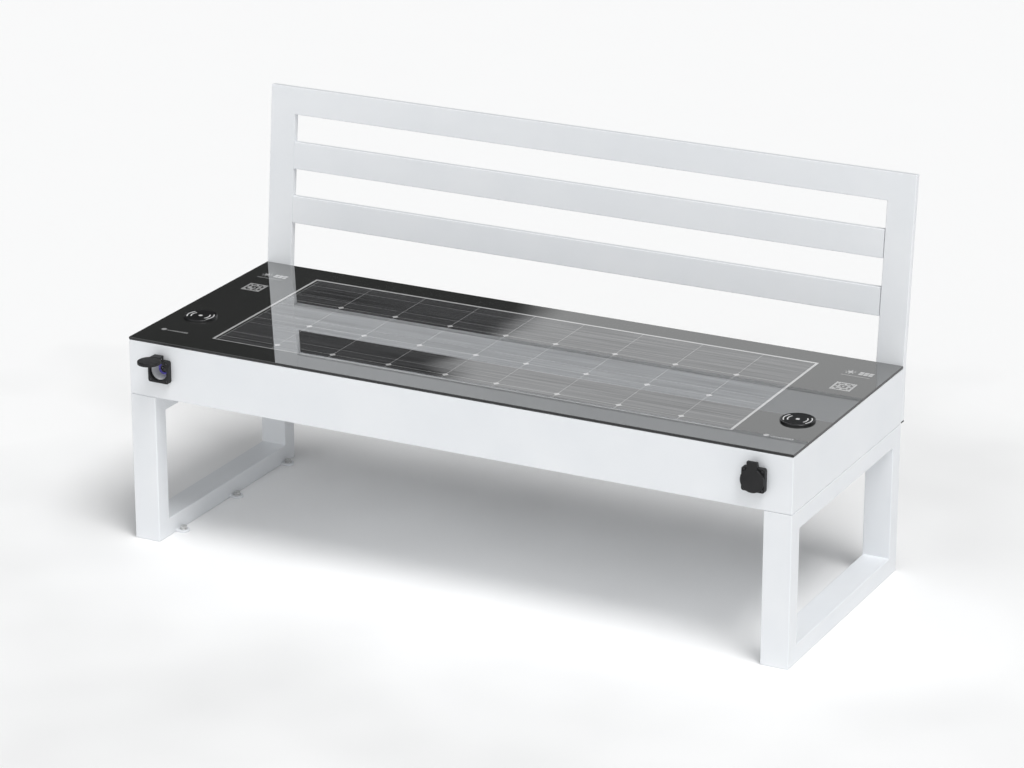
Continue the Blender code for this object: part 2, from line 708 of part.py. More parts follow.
def build_backrest(paints):
    """Two bent posts mitred to a top rail, two slats between them, and the caps and bolts of the posts."""
    rail_bottom = BACK_LENGTH - POST_WIDTH
    inner = HALF - POST_WIDTH
    gap = FIT * math.sqrt(2)
    wall = POST_WALL
    rail_outline = [(-HALF, BACK_LENGTH), (-inner, rail_bottom), (inner, rail_bottom), (HALF, BACK_LENGTH)]
    rail = prism("top_rail", rail_outline, "y", (0, POST_THICKNESS), paints["coat"])
    rail_bore = block(
        "top_rail_bore",
        (-HALF - THROUGH, HALF + THROUGH),
        (wall, POST_THICKNESS - wall),
        (rail_bottom + wall, BACK_LENGTH - wall),
    )
    cut(rail, rail_bore)
    reclined(rail)
    reclined(rail_bore)

    for index, place in enumerate(("upper", "lower"), start=1):
        slat_top = BACK_LENGTH - SLAT_PITCH * index
        ends = (-inner + FIT, inner - SLAT_END_GAP)
        slat = block(
            f"slat_{place}", ends, (0, POST_THICKNESS), (slat_top - POST_WIDTH, slat_top), paints["coat"]
        )
        slat_bore = block(
            f"slat_{place}_bore",
            (ends[0] - THROUGH, ends[1] + THROUGH),
            (wall, POST_THICKNESS - wall),
            (slat_top - POST_WIDTH + wall, slat_top - wall),
        )
        cut(slat, slat_bore)
        reclined(slat)
        reclined(slat_bore)

    post_bottom = BOX_BOTTOM + CAP_THICKNESS + FIT
    for side, sign in SIDES.items():
        x = sorted((sign * HALF, sign * inner))
        post = prism(f"post_{side}", post_outline(0, post_bottom, BACK_LENGTH), "x", x, paints["coat"])
        bore_x = (x[0] + wall, x[1] - wall)
        bore_outline = post_outline(wall, post_bottom - THROUGH, BACK_LENGTH + THROUGH)
        post_bore = prism(f"post_{side}_bore", bore_outline, "x", bore_x)
        mitre_outline = [
            (sign * (HALF + THROUGH), BACK_LENGTH + THROUGH - gap),
            (sign * (inner - THROUGH), rail_bottom - THROUGH - gap),
            (sign * (inner - THROUGH), BACK_LENGTH + THROUGH - gap),
        ]
        mitre = prism(f"post_{side}_mitre", mitre_outline, "y", (-THROUGH, POST_THICKNESS + THROUGH))
        reclined(mitre)
        cut(post, post_bore, mitre)

        cap = block(
            f"post_cap_{side}",
            x,
            (POST_FRONT, POST_FRONT + POST_THICKNESS),
            (BOX_BOTTOM, BOX_BOTTOM + CAP_THICKNESS),
            paints["plastic"],
        )
        plug = wall + FIT
        spigot = block(
            f"post_cap_{side}_spigot",
            (x[0] + plug, x[1] - plug),
            (POST_FRONT + plug, POST_FRONT + POST_THICKNESS - plug),
            (BOX_BOTTOM + CAP_THICKNESS / 2, BOX_BOTTOM + CAP_SPIGOT),
        )
        join(cap, spigot)
        build_post_bolts(side, sign, post, paints)


def build_post_bolts(side, sign, post, paints):
    """Two dome-headed bolts through the upright part of a post and the rear wall of the seat box."""
    box = bpy.data.objects["seat_box"]
    post_back = POST_THICKNESS + FIT
    for place, rise in zip(("lower", "upper"), POST_BOLT_RISES):
        centre = (sign * (HALF - POST_WIDTH / 2), POST_FRONT, BOX_BOTTOM + rise)
        hole_radius = BOLT_RADIUS + BOLT_CLEARANCE
        for target in (post, box):
            name = f"{target.name}_{side}_{place}_bolt_hole"
            cut(target, shaft(name, hole_radius, (-THROUGH, 2 * THROUGH), centre, "y", None, HOLE_STEPS))
        profile = [(0, POST_BOLT_END), (BOLT_RADIUS, POST_BOLT_END), (BOLT_RADIUS, post_back)]
        profile += [(radius, post_back + height) for radius, height in POST_BOLT_DOME]
        turned(f"post_bolt_{side}_{place}", profile, centre, "y", paints["zinc"], HOLE_STEPS)


def main():
    for thing in list(bpy.data.objects):
        bpy.data.objects.remove(thing, do_unlink=True)
    paints = {
        "coat": paint("white_powder_coat", (0.76, 0.78, 0.80), 0.42),
        "glass": paint("dark_glass", (0.035, 0.037, 0.040), 0.06),
        "cells": paint("solar_cells", (0.045, 0.048, 0.055), 0.30),
        "rubber": paint("black_rubber", (0.02, 0.02, 0.02), 0.80),
        "plastic": paint("black_plastic", (0.028, 0.028, 0.030), 0.38),
        "cup": paint("grey_plastic", (0.30, 0.31, 0.32), 0.35),
        "light": paint("blue_light_ring", (0.08, 0.07, 0.55), 0.30),
        "steel": paint("galvanised_steel", (0.52, 0.53, 0.55), 0.40, 1.0),
        "zinc": paint("zinc_plated_steel", (0.68, 0.68, 0.68), 0.28, 1.0),
        "alloy": paint("anodised_aluminium", (0.30, 0.31, 0.33), 0.40, 1.0),
        "case": paint("dark_grey_case", (0.06, 0.06, 0.065), 0.55),
    }
    build_seat(paints)
    build_inside(paints)
    for side, sign in SIDES.items():
        build_charger(side, sign, paints)
        build_socket(side, sign, paints)
        build_leg_frame(side, sign, paints)
        build_floor_lugs(side, sign, paints)
    build_lid("left", SIDES["left"], LID_OPEN, paints)
    build_lid("right", SIDES["right"], 0, paints)
    build_backrest(paints)


main()
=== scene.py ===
"""The looks of a solar bench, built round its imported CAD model.

Metres, in the model's own frame: +X along the bench, +Y from the front towards the backrest, +Z up. The
welded tubes become one-piece frames with rounded edges, the glass gets its solar cells and prints, and the
sockets, lids, charging discs and fasteners get their fine shapes. Pieces ride on the bench or on one of its
two socket lids.
"""

import json
import math

import bmesh
import bpy
from mathutils import Matrix, Vector


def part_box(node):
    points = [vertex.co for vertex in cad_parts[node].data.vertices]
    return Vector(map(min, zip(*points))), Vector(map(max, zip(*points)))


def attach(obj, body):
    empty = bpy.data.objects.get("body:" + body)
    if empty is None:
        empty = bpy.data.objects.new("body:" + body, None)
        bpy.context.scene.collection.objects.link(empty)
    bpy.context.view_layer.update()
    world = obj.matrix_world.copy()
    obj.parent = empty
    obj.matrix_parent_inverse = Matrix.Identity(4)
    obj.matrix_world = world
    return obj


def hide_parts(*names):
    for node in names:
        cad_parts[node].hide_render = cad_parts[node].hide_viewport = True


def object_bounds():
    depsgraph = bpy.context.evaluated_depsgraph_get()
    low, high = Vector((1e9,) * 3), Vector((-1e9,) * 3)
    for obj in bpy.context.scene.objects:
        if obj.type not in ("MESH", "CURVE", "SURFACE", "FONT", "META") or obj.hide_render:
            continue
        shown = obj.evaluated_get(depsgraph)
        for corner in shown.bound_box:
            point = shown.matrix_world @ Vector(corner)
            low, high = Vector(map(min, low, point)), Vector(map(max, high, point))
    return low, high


MM = 0.001
SIDES = {"left": -1, "right": 1}
PLACES = ("front", "middle", "rear")
ROUND_STEPS = 96
SMALL_STEPS = 48
SHARP = math.radians(35)
WELD_DISTANCE = 0.002 * MM  # corners closer than this are one corner
THROUGH = 20 * MM  # how far a cutter runs past the faces it cuts
GAP = 0.3 * MM  # between pieces that touch

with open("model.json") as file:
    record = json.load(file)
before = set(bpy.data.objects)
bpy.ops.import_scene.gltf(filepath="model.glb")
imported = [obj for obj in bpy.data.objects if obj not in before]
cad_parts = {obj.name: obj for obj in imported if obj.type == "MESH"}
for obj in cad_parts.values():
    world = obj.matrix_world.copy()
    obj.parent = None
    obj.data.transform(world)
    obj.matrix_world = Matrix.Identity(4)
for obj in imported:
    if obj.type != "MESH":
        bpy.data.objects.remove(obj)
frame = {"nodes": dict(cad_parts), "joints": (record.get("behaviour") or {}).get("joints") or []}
CAD_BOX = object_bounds()
GLASS_LOW, GLASS_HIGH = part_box("glass_top")
CASE_LOW, CASE_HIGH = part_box("seat_box")
HALF = GLASS_HIGH.x
SEAT_FRONT, SEAT_BACK, SEAT_TOP = GLASS_LOW.y, GLASS_HIGH.y, GLASS_HIGH.z

# Screws of the cover under the seat box, in two rows
COVER_SCREWS = 6  # in each row
COVER_SCREW_SPAN = 1.2  # from the first to the last
COVER_SCREW_INSET = 10 * MM

# Backrest: bent at the seat, so that its upper part leans back
RECLINE = math.radians(5.2)
BEND_RADIUS = 550 * MM
HALF_BEND = BEND_RADIUS * math.tan(RECLINE / 2)  # how far the bend reaches above and below the seat's height
BEND_STEPS = 8
POST_WIDTH = 60 * MM
POST_THICKNESS = 15 * MM
POST_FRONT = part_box("post_left")[0].y
BACK_LENGTH = (CAD_BOX[1].z - SEAT_TOP) / math.cos(RECLINE)  # of the leaning part, along it
SLAT_PITCH = 120.5 * MM
SLAT_END_GAPS = (0.3 * MM, 1 * MM)
BACK_EDGE = 1.6 * MM  # radius of the long edges of posts, rail and slats

# Leg frames and floor lugs
LEG_WIDTH = 60 * MM
LEG_DEPTH = 40 * MM
LEG_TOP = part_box("leg_left_top")[1].z
LUG_REACH = 24 * MM
LUG_WIDTH = 26 * MM
LUG_THICKNESS = 5 * MM
LUG_HOLE = 4.4 * MM  # radius

# Solar laminate, with distances back counted from the front of the seat
FIELD_HALF = 590 * MM
FIELD_BACK = (70 * MM, 504 * MM)
BORDER = 5.5 * MM
FRONT_BORDER = 2 * MM
COLUMN_GAPS = [(-448.6 + 131.1 * i) * MM for i in range(4)] + [(60.5 + 136.2 * i) * MM for i in range(4)]
ROW_GAPS = [distance * MM for distance in (96, 228, 363)]
CELL_GAP = 0.7 * MM
CELL_CHAMFER = 6.8 * MM
BUSBAR_OFFSET = 33 * MM
BUSBAR_WIDTH = 1.4 * MM
LAYER = 0.12 * MM  # how far cells and prints stand out of the glass

# Prints on the glass at each end of the seat, with distances back counted from the front of the seat
PRINT_X = 685 * MM
SIGN_BACK = 484 * MM
SIGN_LINE_BACK = 464 * MM
BLOCKS_BACK = 397 * MM
BARS_BACK = 75 * MM

# Charging discs and sockets
DISC_HEIGHT = 4 * MM
FLANGE_SIDE = 49.5 * MM
FLANGE_FRONT = 14 * MM
FLANGE_BACK = 2 * MM
FLANGE_SCREW = 19.4 * MM  # from the socket's centre, across and up
BORE_RADIUS = 20.2 * MM
BARREL_RADIUS = 22 * MM
CUP_RADIUS = 19.9 * MM
CUP_FRONT = 11 * MM
CUP_BACK = -9.7 * MM
RING_FRONT = -10 * MM
BARREL_END = -27 * MM
HINGE_WIDTH = 22 * MM
MIDDLE_KNUCKLE = 10 * MM
KNUCKLE_RADIUS = 5.5 * MM
CORE_RADIUS = 4.2 * MM  # of the fixed middle knuckle, which the lid's tab hides
PIN_RADIUS = 1.5 * MM
PIN_HOLE = PIN_RADIUS + 0.07 * MM
LID_RADIUS = 25 * MM
LID_CENTRE = -30 * MM  # from the hinge axis, with the lid closed
LID_INNER = -1.5 * MM
LID_FACE = 4.9 * MM
TAB_TOP = 9 * MM  # above the hinge axis, with the lid closed
TAB_BACK = (5.1 * MM, 2.7 * MM)  # of its ears, behind the hinge axis: beside it and at the top
LID_SWINGS = {"left": math.radians(90), "right": 0.0}

# Studio light
KEY_TOWARDS = (0.406, -0.235, 0.883)
KEY_STRENGTH = 1.92
KEY_ANGLE = math.radians(28)
SOFTBOX_TOWARDS = (0.2, -0.88, 0.43)
SOFTBOX_LEVEL = 0.97
DIM_LEVEL = 0.03
BACKDROP_LEVEL = 0.56
SKY_TINT = (0.985, 0.995, 1.0, 1)
FLOOR_SIZE = 40  # from its middle to each side

# Edges of the lit backdrop, in degrees. Azimuths count from straight behind the bench towards its left.
BACKDROP_RIGHT = (-75, -55)  # unlit, fully lit
BACKDROP_BOTTOM = (2, 10)
BACKDROP_TOP = (36, 28)
FLAG_AZIMUTH, FLAG_ELEVATION = 26.7, 18.8  # a point on the flag's slanting edge
FLAG_SLOPE = 1.33
FLAG_SOFTNESS = 0.45
FLAG_WAVER = 2.4  # how far noise moves the edge to and fro
FLAG_STREAKS = (12, 12, 160)  # scale of that noise on each axis

# Camera, from the front and a little to the right
CAMERA_PLACE = (3.37100, -6.56406, 3.06784)
CAMERA_DROP = 20.004  # degrees below level
CAMERA_TURN = 27.145  # degrees to the left of +Y
CAMERA_LENS = 134.023
CAMERA_SENSOR = 36

# ---------------------------------------------------------------- materials

GLASS_IOR = 1.7
GLASS_COAT_IOR = 2.0
RAMP = (0.3, 0.7)  # the stretch of a noise pattern that is spread over a whole range


class Finish:
    """A Principled material whose colour, roughness and bump follow patterns in the piece's own metres."""

    def __init__(self, name, **constants):
        self.material = bpy.data.materials.new(name)
        self.material.use_nodes = True
        self.nodes = self.material.node_tree.nodes
        self.links = self.material.node_tree.links
        self.shader = self.nodes["Principled BSDF"]
        for socket, value in constants.items():
            self.shader.inputs[socket.replace("_", " ")].default_value = value
        self.place = self.nodes.new("ShaderNodeTexCoord").outputs["Object"]
        self.normal = None

    def noise(self, size, detail=3.0, stretch=(1, 1, 1)):
        """Noise with spots of about this size, drawn out along each axis by its stretch."""
        mapping = self.nodes.new("ShaderNodeMapping")
        mapping.inputs["Scale"].default_value = [1 / (size * along) for along in stretch]
        pattern = self.nodes.new("ShaderNodeTexNoise")
        pattern.inputs["Scale"].default_value = 1.0
        pattern.inputs["Detail"].default_value = detail
        self.links.new(self.place, mapping.inputs["Vector"])
        self.links.new(mapping.outputs["Vector"], pattern.inputs["Vector"])
        return pattern.outputs[0]

    def colour(self, pattern, darker, lighter):
        ramp = self.nodes.new("ShaderNodeValToRGB")
        for end, position, tone in zip(ramp.color_ramp.elements, RAMP, (darker, lighter)):
            end.position = position
            end.color = (*tone, 1)
        self.links.new(pattern, ramp.inputs[0])
        self.links.new(ramp.outputs[0], self.shader.inputs["Base Color"])
        return self

    def roughness(self, pattern, low, high):
        spread = self.nodes.new("ShaderNodeMapRange")
        for socket, value in zip(("From Min", "From Max", "To Min", "To Max"), (*RAMP, low, high)):
            spread.inputs[socket].default_value = value
        self.links.new(pattern, spread.inputs["Value"])
        self.links.new(spread.outputs[0], self.shader.inputs["Roughness"])
        return self

    def bump(self, pattern, height, strength=1.0):
        """Adds relief of this height. Several calls add up."""
        relief = self.nodes.new("ShaderNodeBump")
        relief.inputs["Strength"].default_value = strength
        relief.inputs["Distance"].default_value = height
        self.links.new(pattern, relief.inputs["Height"])
        if self.normal:
            self.links.new(self.normal, relief.inputs["Normal"])
        self.normal = relief.outputs[0]
        self.links.new(self.normal, self.shader.inputs["Normal"])
        return self


def powder_coat():
    """White polyester powder: a fine orange peel, with the faintest cloudiness."""
    coat = Finish("white_powder_coat", IOR=1.5)
    coat.colour(coat.noise(0.15, 4), (0.765, 0.785, 0.81), (0.80, 0.815, 0.835))
    coat.roughness(coat.noise(2 * MM), 0.38, 0.48)
    coat.bump(coat.noise(1.1 * MM, 2), 0.03 * MM, 0.5)
    return coat.material


def under_glass(name, size, darker, lighter, stretch=(1, 1, 1), metallic=0.0):
    """A colour seen through polished tempered glass: two reflecting faces, almost no texture of its own."""
    glass = Finish(
        name, Metallic=metallic, IOR=GLASS_IOR, Coat_Weight=1.0, Coat_IOR=GLASS_COAT_IOR, Coat_Roughness=0.012
    )
    glass.colour(glass.noise(size, 4, stretch), darker, lighter)
    glass.roughness(glass.noise(40 * MM, 3), 0.01, 0.035)
    glass.bump(glass.noise(180 * MM, 0), 0.02 * MM, 0.3)
    return glass.material


def moulded_plastic(name, darker, lighter, low, high, specular=0.5):
    """Plastic from a lightly spark-eroded mould."""
    plastic = Finish(name, IOR=1.5, Specular_IOR_Level=specular)
    plastic.colour(plastic.noise(18 * MM, 4), darker, lighter)
    plastic.roughness(plastic.noise(3 * MM), low, high)
    plastic.bump(plastic.noise(0.6 * MM, 2), 0.015 * MM, 0.5)
    return plastic.material


def metal(name, darker, lighter, low, high, grain=(1, 1, 1)):
    """Plated or cast metal, with cloudy reflections."""
    plate = Finish(name, Metallic=1.0)
    plate.colour(plate.noise(6 * MM, 4), darker, lighter)
    plate.roughness(plate.noise(2.5 * MM, 4, grain), low, high)
    plate.bump(plate.noise(0.8 * MM, 2, grain), 0.01 * MM, 0.4)
    return plate.material


def rubber():
    matt = Finish("black_rubber")
    matt.colour(matt.noise(10 * MM), (0.016, 0.016, 0.017), (0.028, 0.028, 0.028))
    matt.roughness(matt.noise(2 * MM), 0.72, 0.88)
    matt.bump(matt.noise(0.7 * MM), 0.03 * MM, 0.5)
    return matt.material


def glowing_ring():
    """Blue-violet plastic, lit softly from behind."""
    ring = Finish("blue_light_ring", Emission_Strength=0.04)
    ring.shader.inputs["Emission Color"].default_value = (0.16, 0.11, 0.85, 1)
    ring.colour(ring.noise(4 * MM), (0.10, 0.085, 0.40), (0.13, 0.11, 0.48))
    ring.roughness(ring.noise(2 * MM), 0.25, 0.38)
    ring.bump(ring.noise(1 * MM), 0.01 * MM, 0.4)
    return ring.material


def pale_floor():
    """Matt white, with painted shade: a little greyer round the bench than farther off."""
    ground = Finish("pale_floor", Specular_IOR_Level=0.1)
    length = ground.nodes.new("ShaderNodeVectorMath")
    length.operation = "LENGTH"
    ground.links.new(ground.place, length.inputs[0])
    distance = ground.nodes.new("ShaderNodeMapRange")
    distance.interpolation_type = "SMOOTHSTEP"
    distance.inputs["From Min"].default_value = 0.8
    distance.inputs["From Max"].default_value = 2.6
    ground.links.new(length.outputs["Value"], distance.inputs["Value"])
    spread = ground.nodes.new("ShaderNodeMath")
    spread.operation = "MULTIPLY_ADD"
    ground.links.new(distance.outputs[0], spread.inputs[0])
    spread.inputs[1].default_value = 0.6
    ground.links.new(ground.noise(0.6, 2), spread.inputs[2])
    # painted shade: the colour is greyer near the bench's middle and turns white between 0.8 m and 2.6 m from
    # it
    ground.colour(spread.outputs[0], (0.87, 0.87, 0.87), (0.99, 0.99, 0.99))
    ground.roughness(ground.noise(0.2), 0.85, 0.95)
    return ground.material


coat_paint = powder_coat()
frit_paint = under_glass("dark_glass", 0.25, (0.026, 0.027, 0.0255), (0.031, 0.032, 0.031))
cell_paint = under_glass(
    "solar_cells", 5 * MM, (0.07, 0.071, 0.073), (0.33, 0.333, 0.342), stretch=(60, 1, 1), metallic=0.7
)
backsheet_paint = under_glass("white_backsheet", 30 * MM, (0.58, 0.58, 0.58), (0.66, 0.66, 0.66))
busbar_paint = under_glass("tinned_busbar", 8 * MM, (0.20, 0.20, 0.205), (0.30, 0.30, 0.305))
print_paint = under_glass("light_print", 12 * MM, (0.46, 0.46, 0.46), (0.56, 0.56, 0.56))
mark_paint = moulded_plastic("white_mark", (0.66, 0.66, 0.66), (0.74, 0.74, 0.74), 0.40, 0.50)
edge_paint = moulded_plastic("glass_edge", (0.006, 0.0065, 0.007), (0.009, 0.0095, 0.010), 0.25, 0.35)
plastic_paint = moulded_plastic(
    "black_plastic", (0.013, 0.013, 0.014), (0.018, 0.018, 0.019), 0.40, 0.52, specular=0.25
)
gloss_paint = moulded_plastic("gloss_black_plastic", (0.010, 0.010, 0.011), (0.014, 0.014, 0.015), 0.12, 0.20)
disc_paint = moulded_plastic(
    "satin_black_disc", (0.005, 0.005, 0.0055), (0.008, 0.008, 0.0085), 0.45, 0.55, specular=0.2
)
cup_paint = moulded_plastic("grey_plastic", (0.54, 0.55, 0.56), (0.64, 0.65, 0.66), 0.30, 0.42)
light_paint = glowing_ring()
rubber_paint = rubber()
zinc_paint = metal("zinc_plate", (0.58, 0.58, 0.57), (0.74, 0.74, 0.73), 0.22, 0.38)
galvanised_paint = metal("galvanised_steel", (0.42, 0.43, 0.45), (0.60, 0.61, 0.63), 0.32, 0.52, (1, 8, 1))
alloy_paint = metal("anodised_aluminium", (0.26, 0.27, 0.29), (0.34, 0.35, 0.37), 0.34, 0.46, (8, 1, 1))
case_paint = moulded_plastic("dark_grey_case", (0.050, 0.050, 0.055), (0.070, 0.070, 0.075), 0.48, 0.62)

# ---------------------------------------------------------------- shaping


def tidy(form):
    """Merges loose corners and the triangles of each flat face, and turns every face outwards."""
    bmesh.ops.remove_doubles(form, verts=form.verts, dist=WELD_DISTANCE)
    bmesh.ops.dissolve_limit(form, angle_limit=math.radians(0.5), verts=form.verts, edges=form.edges)
    bmesh.ops.recalc_face_normals(form, faces=form.faces)
    return form


def copied(node):
    """A copy of a CAD node's shape."""
    form = bmesh.new()
    form.from_mesh(frame["nodes"][node].data)
    return tidy(form)


def block(x, y, z, place=Matrix()):
    """A box between the two ends given on each axis."""
    low, high = Vector((x[0], y[0], z[0])), Vector((x[1], y[1], z[1]))
    form = bmesh.new()
    size = Matrix.Diagonal((*(high - low), 1))
    bmesh.ops.create_cube(form, size=1, matrix=place @ Matrix.Translation((low + high) / 2) @ size)
    return form


def prism(outline, heights, place=Matrix()):
    """An outline of (x, y) points drawn out along local Z."""
    form = bmesh.new()
    low, high = [[form.verts.new((x, y, h)) for x, y in outline] for h in heights]
    form.faces.new(low)
    form.faces.new(high)
    for i, corner in enumerate(low):
        j = (i + 1) % len(low)
        form.faces.new((corner, low[j], high[j], high[i]))
    bmesh.ops.recalc_face_normals(form, faces=form.faces)
    bmesh.ops.transform(form, matrix=place, verts=form.verts)
    return form


def turned(profile, place=Matrix(), steps=ROUND_STEPS):
    """A profile of (radius, height) turned about local Z: from axis to axis, or else closed into a ring."""
    form = bmesh.new()
    rings = []
    for radius, height in profile:
        turns = [math.tau * i / steps for i in range(steps if radius else 1)]
        rings.append([form.verts.new((radius * math.cos(t), radius * math.sin(t), height)) for t in turns])
    following = rings[1:] + (rings[:1] if profile[0][0] else [])
    for near, far in zip(rings, following):
        for i in range(steps):
            j = i + 1
            corners = (near[i % len(near)], near[j % len(near)], far[j % len(far)], far[i % len(far)])
            form.faces.new(dict.fromkeys(corners))
    bmesh.ops.recalc_face_normals(form, faces=form.faces)
    bmesh.ops.transform(form, matrix=place, verts=form.verts)
    return form


def cylinder(radius, ends, place=Matrix(), steps=ROUND_STEPS):
    """A plain round solid along local Z."""
    start, end = ends
    return turned([(0, start), (radius, start), (radius, end), (0, end)], place, steps)


def rod(radius, ends, place=Matrix(), chamfer=0.0, steps=SMALL_STEPS):
    """A round bar along local X."""
    low, high = ends
    profile = [
        (0, low), (radius - chamfer, low), (radius, low + chamfer),
        (radius, high - chamfer), (radius - chamfer, high), (0, high),
    ]
    return turned(profile, place @ Matrix.Rotation(math.radians(90), 4, "Y"), steps)


def arc(centre, radius, start, end, steps):
    """Points of an arc, with angles in degrees."""
    turns = [math.radians(start + (end - start) * i / steps) for i in range(steps + 1)]
    return [(centre[0] + radius * math.cos(t), centre[1] + radius * math.sin(t)) for t in turns]


def hexagon(radius):
    """A hexagon's outline, with its corners at this radius."""
    return arc((0, 0), radius, 0, 300, 5)


def rounded_rectangle(width, height, corner, steps=6):
    x, y = width / 2 - corner, height / 2 - corner
    corners = ((x, y, 0), (-x, y, 90), (-x, -y, 180), (x, -y, 270))
    return [point for cx, cy, a in corners for point in arc((cx, cy), corner, a, a + 90, steps)]


def rounded(form, width, segments=3, chosen=lambda edge: True):
    """Rounds the sharp edges of a form, or those of them that are chosen."""
    edges = [edge for edge in form.edges if edge.calc_face_angle(0) > SHARP and chosen(edge)]
    bmesh.ops.bevel(
        form, geom=edges, offset=width, segments=segments, profile=0.5, affect="EDGES", clamp_overlap=True
    )
    return form


def as_object(form, name="shape"):
    mesh = bpy.data.meshes.new(name)
    form.to_mesh(mesh)
    form.free()
    thing = bpy.data.objects.new(name, mesh)
    bpy.context.scene.collection.objects.link(thing)
    return thing


def combined(form, tool, operation):
    """Two forms made into one by an exact Boolean."""
    thing, other = as_object(form), as_object(tool)
    step = thing.modifiers.new("combine", "BOOLEAN")
    step.operation, step.solver, step.object = operation, "EXACT", other
    bpy.context.view_layer.update()
    mesh = bpy.data.meshes.new_from_object(thing.evaluated_get(bpy.context.evaluated_depsgraph_get()))
    result = bmesh.new()
    result.from_mesh(mesh)
    for used in (thing, other):
        spent = used.data
        bpy.data.objects.remove(used)
        bpy.data.meshes.remove(spent)
    bpy.data.meshes.remove(mesh)
    bmesh.ops.remove_doubles(result, verts=result.verts, dist=WELD_DISTANCE)
    return result


def cut(form, *tools):
    for tool in tools:
        form = combined(form, tool, "DIFFERENCE")
    return form


def join(form, *others):
    for other in others:
        form = combined(form, other, "UNION")
    return form


def together(*forms):
    """Several separate bodies in one form."""
    whole = forms[0]
    for form in forms[1:]:
        mesh = bpy.data.meshes.new("part")
        form.to_mesh(mesh)
        form.free()
        whole.from_mesh(mesh)
        bpy.data.meshes.remove(mesh)
    return whole


def show(name, form, paints, replaced=(), body="bench"):
    """Makes a form into a piece that rides on a body and stands for CAD nodes."""
    thing = as_object(form, name)
    thing.data.shade_smooth()
    thing.data.set_sharp_from_angle(angle=SHARP)
    for paint in paints if isinstance(paints, list) else [paints]:
        thing.data.materials.append(paint)
    level = thing.modifiers.new("flat faces stay flat", "WEIGHTED_NORMAL")
    level.keep_sharp = True
    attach(thing, body)
    if replaced:
        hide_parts(*replaced)
    return thing


def repaint(paint, *nodes):
    """Gives CAD nodes that keep their shape a better material."""
    for node in nodes:
        thing = frame["nodes"][node]
        thing.data.materials.clear()
        thing.data.materials.append(paint)


def grid_frame(across, along, filled, layers, place):
    """A flat frame made of the filled cells of a grid. place(u, v, t) puts each corner of each layer."""
    form = bmesh.new()
    corners = {}

    def corner(i, j, layer):
        key = (i, j, layer)
        if key not in corners:
            corners[key] = form.verts.new(place(across[i], along[j], layers[layer]))
        return corners[key]

    cells = {(i, j) for i in range(len(across) - 1) for j in range(len(along) - 1) if filled(i, j)}
    for i, j in cells:
        square = ((i, j), (i + 1, j), (i + 1, j + 1), (i, j + 1))
        for layer in (0, 1):
            form.faces.new([corner(*spot, layer) for spot in square])
        beyond = ((i, j - 1), (i + 1, j), (i, j + 1), (i - 1, j))
        for side, neighbour in enumerate(beyond):
            if neighbour not in cells:
                a, b = square[side], square[(side + 1) % 4]
                form.faces.new((corner(*a, 0), corner(*b, 0), corner(*b, 1), corner(*a, 1)))
    bmesh.ops.recalc_face_normals(form, faces=form.faces)
    return form


# ---------------------------------------------------------------- steelwork


def build_casing():
    """The folded steel box, with soft outer bends and crisp lips, and the cover and screws below it."""

    def is_outer_bend(edge):
        ends = [vert.co for vert in edge.verts]
        outside = 0
        for axis in range(3):
            for plane in (CASE_LOW[axis], CASE_HIGH[axis]):
                outside += all(abs(end[axis] - plane) < 0.01 * MM for end in ends)
        return outside == 2

    casing = copied("seat_box")
    rounded(casing, 2.2 * MM, 5, is_outer_bend)
    show("seat_casing", casing, coat_paint, ["seat_box"])
    cover = rounded(copied("bottom_cover"), 0.5 * MM)
    show("underside_cover", cover, coat_paint, ["bottom_cover"])

    head_radius, head_height, cross_half = 4 * MM, 2.4 * MM, 1.6 * MM
    pan_head = [(0, head_height), (2.6 * MM, 2.2 * MM), (head_radius, 1 * MM), (head_radius, 0), (0, 0)]
    screws = []
    for y in (SEAT_FRONT + COVER_SCREW_INSET, SEAT_BACK - COVER_SCREW_INSET):
        for step in range(COVER_SCREWS):
            x = (-0.5 + step / (COVER_SCREWS - 1)) * COVER_SCREW_SPAN
            place = Matrix.Translation((x, y, CASE_LOW.z)) @ Matrix.Rotation(math.pi, 4, "X")
            screws.append(cross_cut(turned(pan_head, place, SMALL_STEPS), place, head_height, cross_half))
    show("cover_screws", together(*screws), zinc_paint)


def cross_cut(head, place, top, half):
    """Cuts the cross of a screwdriver into the top of a screw head."""
    wide, thin = (-half, half), (-0.35 * MM, 0.35 * MM)
    depth = (top - 1.2 * MM, top + 1 * MM)
    return cut(head, block(wide, thin, depth, place), block(thin, wide, depth, place))


def build_leg_frame(side, sign):
    """Four tubes welded and ground into one ring, so no mitre shows under the paint."""
    inner, outer = sign * (HALF - LEG_WIDTH), sign * HALF
    ring = grid_frame(
        (SEAT_FRONT, SEAT_FRONT + LEG_DEPTH, SEAT_BACK - LEG_DEPTH, SEAT_BACK),
        (0, LEG_DEPTH, LEG_TOP - LEG_DEPTH, LEG_TOP),
        lambda i, j: (i, j) != (1, 1),
        (inner, outer),
        lambda y, z, x: (x, y, z),
    )
    rounded(ring, 2 * MM, 4)
    replaced = [f"leg_{side}_{bar}" for bar in ("foot", "top", "front", "rear")]
    show(f"leg_frame_{side}", ring, coat_paint, replaced)


